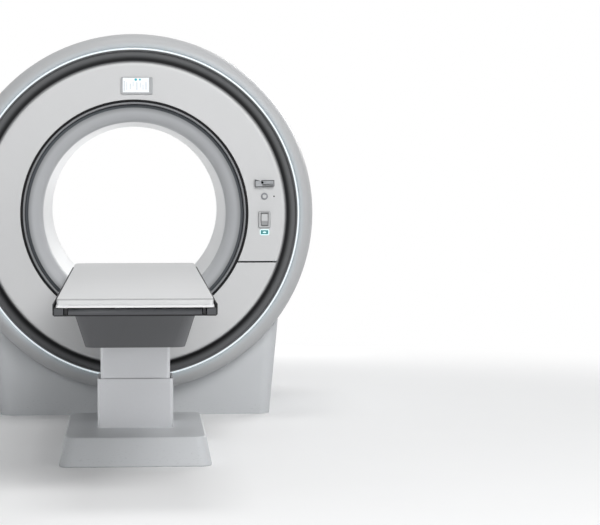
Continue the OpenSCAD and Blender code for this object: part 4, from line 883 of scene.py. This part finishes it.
# Painted shade: the frame darkens along its outer edges.
painted_border_shade = aside.ramp(frame_width / 2 - 0.0035, frame_width / 2 - 0.0015).larger(
    above.ramp(frame_height / 2 - 0.0035, frame_height / 2 - 0.0015))
tint = sheet.blend(sheet.blend((0.55, 0.555, 0.56), (0.30, 0.305, 0.31), painted_border_shade), (0.36, 0.363, 0.366), well)
fit(surround, handled(sheet, tint, 0.04, 0.36, 0.08, 0.35, (300, 1, 0.08, 0.0003)),
    "control_pale", "gantry", "rocker_frame")
rocker = pulled("rocker_key", [(front_face + a, rocker_z + b) for a, b in (
    (-0.011, rocker_half_height), (-0.0125, 0.010), (-0.0135, -0.003), (-0.0135, -0.006), (-0.0118, -0.012),
    (-0.010, -rocker_half_height), (0.004, 0.004 - rocker_half_height), (0.006, 0),
    (0.004, rocker_half_height - 0.004))], control_x - rocker_half, control_x + rocker_half, True)
soften(rocker, 0.001, 3, 30)
join(rocker, pin("rocker_pin", 0))
sheet = new_finish("rocker_grey")
aside, above = from_middle(sheet, rocker_z)
# Painted shade: the key's lower half, which faces down, is darker.
lower = 1 - (sheet.place()[2] - rocker_z).ramp(-0.008, -0.004)
# Painted shade: the key darkens along its edges, where its gap is shaded.
painted_border_shade = aside.ramp(rocker_half - 0.0025, rocker_half - 0.0008).larger(
    above.ramp(rocker_half_height - 0.003, rocker_half_height - 0.001))
tint = sheet.blend(sheet.blend((0.56, 0.565, 0.57), (0.34, 0.345, 0.35), lower), (0.17, 0.173, 0.178), painted_border_shade)
fit(rocker, handled(sheet, tint, 0.08, 0.38, 0.08, 0.35, (700, 1, 0.12, 0.0002)),
    "control_pale", "table_rocker", "table_rocker")


# Start button: a teal key lit from behind, brightest in the middle where its lamp sits, in a clear frame that
# carries the light out as a pale halo.
start_width, start_height, start_out, start_frame = 0.034, 0.019, 0.003, 0.006
glow_across, glow_up = 0.0095, 0.0042
halo = framed(
    "start_surround", control_x, start_z, (start_width + start_frame, start_height + start_frame), start_out, 0.0012,
    start_body, (control_x, start_z, start_width, start_height), key_depth)
sheet = new_finish("lit_frame")
glow = 0.95 + 0.1 * sheet.noise(200, 1)
fit(halo, lit(sheet, (0.55, 0.64, 0.65), (0.70, 0.93, 0.95), glow, 0.3, 0.9),
    "control_grey", "gantry", "start_button_frame")
key = plate("start_key", control_x, start_z, start_width - 2 * seat_gap, start_height - 2 * seat_gap, 0.004,
            button_deep, key_corner, 0.001)
sheet = new_finish("lit_key")
aside, above = from_middle(sheet, start_z)
bright = 1 - (aside * (1 / glow_across)).span(above * (1 / glow_up)).ramp(0.35, 1.1)
tint = sheet.blend((0.035, 0.185, 0.195), (0.72, 0.98, 1.0), bright)
fit(key, sheet.surface({
    "Base Color": sheet.shade(tint, 0.97 + 0.06 * sheet.noise(300, 1)), "Roughness": 0.3,
    "Emission Color": tint, "Emission Strength": 0.45}), "button_teal", "start_button", "start_button")


# Tabletop: a foam-cored board in pale laminate with softened edges, edged below by a white moulding that stands
# a little proud. Runners of slippery plastic under it slide in the tray's slots and on the runway in the bore;
# their dark grey is painted shade for the slots.
board_half, board_top, board_bottom, lip_bottom = 0.257322, 0.685, 0.662, 0.6545
table_head, table_foot, lip_out, lip_frame = -0.555, -3.045, 0.003, 0.018


def rounded_board(name, half, y0, y1, z0, z1):
    """A board with large round corners at its head end and small ones at its foot end."""
    made = block(name, (-half, y0, z0), (half, y1, z1))
    round_off(made, lambda e: upright(e) and middle(e).y > y1 - 0.01, 0.025, 8)
    round_off(made, lambda e: upright(e) and middle(e).y < y0 + 0.01, 0.012, 8)
    return made


board = rounded_board("tabletop_board", board_half, table_foot, table_head, board_bottom, board_top)
round_off(board, lambda e: all(v.co.z > board_top - 0.0001 for v in e.verts), 0.004, 4)
sheet = new_finish("laminate")
from_top = sheet.place()[2] - board_top
bands = sheet.noise(1, 4, (0.5, 14, 1))
edge = 1 - from_top.ramp(board_bottom - board_top, board_bottom + 0.02 - board_top)
joint = from_top.ramp(-0.0062, -0.0052) * (1 - from_top.ramp(-0.0011, -0.0003))
tone = 0.93 + 0.12 * bands + 0.02 * sheet.noise(600, 2) - 0.42 * joint
tint = sheet.blend((0.634, 0.637, 0.64), (0.71, 0.715, 0.72), edge)
fit(board, sheet.coated(tint, tone, 0.36 + 0.16 * bands, 0.15, (420, 3, 0.12, 0.0003)),
    "tabletop_white", "tabletop", "tabletop")
lip_half, lip_foot, lip_head = board_half + lip_out, table_foot - lip_out, table_head + lip_out
lip = rounded_board("tabletop_lip", lip_half, lip_foot, lip_head, lip_bottom, board_bottom)
soften(lip, 0.0012, 3, 40)
cut(lip, block("lip_opening", (lip_frame - lip_half, lip_foot + lip_frame, 0),
               (lip_half - lip_frame, lip_head - lip_frame, 1)))
fit(lip, moulded("white_lip", (0.76, 0.765, 0.765), 0.35), "trim_white", "tabletop", "tabletop_trim")

tray_base, slot_floor, runner_x, slot_half, runner_half, runner_inset = 0.6265, 0.0042, 0.227722, 0.008, 0.005, 0.022
runner = block("runner_right", (runner_x - runner_half, table_foot + runner_inset, tray_base + slot_floor + seat_gap),
               (runner_x + runner_half, table_head - runner_inset, board_bottom))
round_off(runner, lambda e: all(v.co.z < board_bottom - 0.01 for v in e.verts), 0.0015, 3)


def mirrored(piece, name):
    """A copy of a piece on the other side of the middle."""
    copy = copied(piece, name)
    pick(copy, "verts", lambda v: True)
    bpy.ops.transform.resize(value=(-1, 1, 1), center_override=(0, 0, 0))
    return closed(copy)


# Painted shade: the runners are coloured dark grey, so that the tray's slots they sit in read as shaded.
runner_painted_shade = moulded("slippery_plastic", (0.10, 0.10, 0.105), 0.25)
for piece in (mirrored(runner, "runner_left"), runner):
    fit(piece, runner_painted_shade, "runner_white", "tabletop", "tabletop_runners")
give(aluminium, "aluminium", "belt_clamp")


# Tray: the dark extruded bed under the tabletop, with an upturned lip along each side and a slot for each
# runner. The toothed belt runs round its two pulleys in the pan between the slots, and moulded caps close it.
tray_top, tray_half, tray_lip, tray_lip_top, tray_round = 0.651, 0.270722, 0.0048, 0.669, 0.008
pan_wall, tray_foot, tray_head, cap_thick, drive_y, idler_y = 0.003, -3.039, -0.576, 0.006, -1.34611, -2.966
slot_in, slot_out, shaft, shaft_hole = runner_x - slot_half, runner_x + slot_half, 0.006, 0.0075


def edged(name, colour, roughness):
    """Dark moulding whose outer and lower edges are painted blacker, as painted shade where light doesn't reach."""
    sheet = new_finish(name)
    x, y, z = sheet.place()
    # Painted shade: blacker towards the sides and the bottom.
    rim = abs(x).ramp(tray_half - 0.007, tray_half - 0.0035).larger(
        1 - z.ramp(tray_base + 0.0025, tray_base + 0.0055))
    return matt(sheet, sheet.blend(colour, [0.15 * c for c in colour], rim), roughness)


def rail(start):
    """The right-hand rail's outline, from the slot's top round under it and up over the lip."""
    return start + rounded([
        (slot_out, tray_base), (tray_half, tray_base, tray_round), (tray_half, tray_lip_top, 0.004),
        (tray_half - tray_lip, tray_lip_top, 0.0007), (tray_half - tray_lip, tray_top)])[1:]


def both_sides(right):
    """The right half of an outline with its mirror image."""
    return right + [(-p[0], p[1]) for p in right[::-1]]


def post(name, radius, y, z0, z1):
    """An upright round bar on the table's middle line."""
    clear()
    bpy.ops.mesh.primitive_cylinder_add(vertices=48, radius=radius, depth=z1 - z0, location=(0, y, (z0 + z1) / 2))
    return settle(just_added(name))


tray = pulled("table_bed", both_sides(rail([]) + [
    (slot_out, tray_top), (slot_out, tray_base + slot_floor), (slot_in, tray_base + slot_floor),
    (slot_in, tray_top)]), tray_foot, tray_head)
cut(tray, block("pan", (pan_wall - slot_in, tray_foot + pan_wall, tray_base + pan_wall),
                (slot_in - pan_wall, tray_head - pan_wall, 1)))
cut(tray, post("drive_shaft_hole", shaft_hole, drive_y, 0.5, 0.64))
join(tray, post("idler_shaft", shaft, idler_y, tray_base + pan_wall - embed, 0.6482))
fit(tray, edged("tray_grey", (0.07, 0.072, 0.077), 0.46), "tray_dark", "table_head", "table_tray")
cap_finish = edged("cap_grey", (0.082, 0.084, 0.089), 0.42)
for end, low, high in (("foot", table_foot, tray_foot), ("head", tray_head, tray_head + cap_thick)):
    cap = pulled(f"{end}_cap_right", rail([(slot_out, tray_top), (slot_out, tray_base)]), low, high)
    soften(cap, 0.0007, angle=40)
    for piece in (mirrored(cap, f"{end}_cap_left"), cap):
        fit(piece, cap_finish, "tray_dark", "table_head", "tray_end_caps")
give(rubber, "belt_black", "drive_belt")
give(aluminium, "aluminium", "drive_pulley", "idler_pulley")
give(painted_steel("motor_black", (0.03, 0.031, 0.033)), "steel_painted", "drive_motor")


# Runway: the pale moulded track laid low in the bore, with a raised rail on each side that takes over the
# tabletop's runners from the tray. It is a hollow moulding that follows the bore's slight taper.
rail_width, rail_height, rail_bevel, runway_wall, runway_inset = 0.04, 0.014, 0.006, 0.008, 0.01
runway_top, runway_half, above_runway = tray_base + slot_floor, runner_x + rail_width / 2, 0.4
runway_low = runway_top - rail_height
bore_slope = (bore_front - bore_rear) / (liner_end - face_depth)


def runway_form(name, right, inset, less):
    """An outline pulled through the bore and cut to its tapering space, drawn in by less all round."""
    made = pulled(name, both_sides(right), front_face + inset, rear_face - inset)
    clear()
    front_radius, length = bore_front - seat_gap - less + bore_slope * face_depth, rear_face - front_face
    bpy.ops.mesh.primitive_cone_add(
        vertices=256, radius1=front_radius, radius2=front_radius - bore_slope * length, depth=length,
        location=(0, 0, axis_height), rotation=(-pi / 2, 0, 0))
    cut(made, settle(just_added("bore_space")), "INTERSECT")
    return made


runway = runway_form("runway", [
    (runway_half, above_runway), (runway_half, runway_top), (runway_half - rail_width, runway_top),
    (runway_half - rail_width - rail_bevel, runway_low)], runway_inset, 0)
soften(runway, 0.001, angle=30)
cut(runway, runway_form("runway_hollow", [
    (runway_half - runway_wall, above_runway), (runway_half - runway_wall, runway_low - runway_wall)],
    0.001, runway_wall))
fit(runway, moulded("runway_moulding", (0.6, 0.61, 0.62), 0.35), "liner_white", "gantry", "bore_bridge")


# Pedestal and lift: a dark moulded skirt under the tray, tapering downwards, hides the head of the column. The
# column's anodised tubes slide one in another around the lifting cylinder.
column_y, taper_round = -1.675553, 0.045


def tapered(name, half_top, long_top, half_low, long_low, z0, z1):
    """A moulded cover's solid form with tapering sides and round corners, centred on the column."""
    made = block(name, (-half_top, column_y - long_top, z0), (half_top, column_y + long_top, z1))
    pick(made, "verts", lambda v: v.co.z < z0 + 0.001)
    bpy.ops.transform.resize(value=(half_low / half_top, long_low / long_top, 1),
                             center_override=(0, column_y, z0))
    round_off(made, upright, taper_round, 10)
    return made


skirt_half, skirt_long, skirt_lean, skirt_low = 0.243, 0.449447, 0.058, 0.4405
skirt = tapered("pedestal_skirt", skirt_half, skirt_long, skirt_half - skirt_lean, skirt_long - skirt_lean,
                skirt_low, tray_base)
soften(skirt, 0.002, angle=60)
shell(skirt, skirt_low)
cut(skirt, post("drive_shaft_hole", shaft_hole, drive_y, 0.6, 0.64))
sheet = new_finish("pedestal_grey")
x, y, z = sheet.place()
drawn_in = (tray_base - z) * (skirt_lean / (tray_base - skirt_low))
from_side = skirt_half - drawn_in - abs(x)
from_end = skirt_long - drawn_in - abs(y - column_y)
# Painted shade: a near-black stripe runs down the sides near each rounded corner, where the turning side is shaded.
painted_corner_shade = (1 - from_side.ramp(0.010, 0.016)) * (1 - abs(from_end - 0.04).ramp(0.006, 0.010))
fit(skirt, matt(sheet, sheet.blend((0.175, 0.178, 0.185), (0.015, 0.015, 0.016), painted_corner_shade), 0.46),
    "pedestal_dark", "table_head", "pedestal_head")

column_finish = metal("anodised_column", (0.60, 0.61, 0.63), 0.38, (50, 50, 2))
tube_half, tube_long, tube_wall, tube_round, tube_step = 0.145, 0.12, 0.008, 0.014, 0.012
glide_out, glide_height = 0.0037, 0.04


def upright_box(name, half, long, z0, z1, corner=tube_round):
    """A box around the column with round upright edges."""
    made = block(name, (-half, column_y - long, z0), (half, column_y + long, z1))
    round_off(made, upright, corner)
    return settle(made)


for name, step, z0, z1, body in (
        ("lower", 0, 0.02, 0.2985, "gantry"), ("middle", 1, 0.165, 0.4285, "column_middle"),
        ("upper", 2, 0.292, 0.6085, "table_head")):
    half, long = tube_half - step * tube_step, tube_long - step * tube_step
    tube = upright_box(f"column_tube_{name}", half, long, z0, z1)
    if step:
        join(tube, upright_box("glide", half + glide_out, long + glide_out, z0, z0 + glide_height))
    soften(tube, 0.0008, angle=60)
    cut(tube, upright_box("tube_bore", half - tube_wall, long - tube_wall, z0 - 0.1, z1 + 0.1, 0.008))
    fit(tube, column_finish, "column_metal", body, f"column_{name}")
give(steel_grey, "steel_painted", "lift_cylinder")
give(chrome, "chrome", "lift_stage", "lift_rod")


# Table foot: a satin moulded cover over the floor plate, and the low duct that takes the cables and the drive's
# wiring along the floor to the gantry.
cover_half, cover_long, cover_lean, cover_height = 0.285, 0.435, 0.022, 0.11
foot_cover = tapered("table_foot_cover", cover_half - cover_lean, cover_long - cover_lean, cover_half, cover_long,
                     0, cover_height)
soften(foot_cover, 0.006, 4)
shell(foot_cover, 0)
cut(foot_cover, upright_box("column_hole", tube_half + seat_gap, tube_long + seat_gap, 0.05, 0.15))
fit(foot_cover, foot_finish, "foot_grey", "gantry", "table_base_cover")
duct_half, duct_height, duct_wall, duct_edge = 0.14, 0.055, 0.004, 0.016
duct_in, duct_roof, inner_edge = duct_half - duct_wall, duct_height - duct_wall, duct_edge - duct_wall
duct = pulled("floor_duct", rounded([
    (-duct_half, 0), (-duct_half, duct_height, duct_edge), (duct_half, duct_height, duct_edge), (duct_half, 0),
    (duct_in, 0), (duct_in, duct_roof, inner_edge), (-duct_in, duct_roof, inner_edge), (-duct_in, 0)]),
    column_y + cover_long, foot_front)
soften(duct, 0.0005)
fit(duct, foot_finish, "foot_grey", "gantry", "cable_duct")
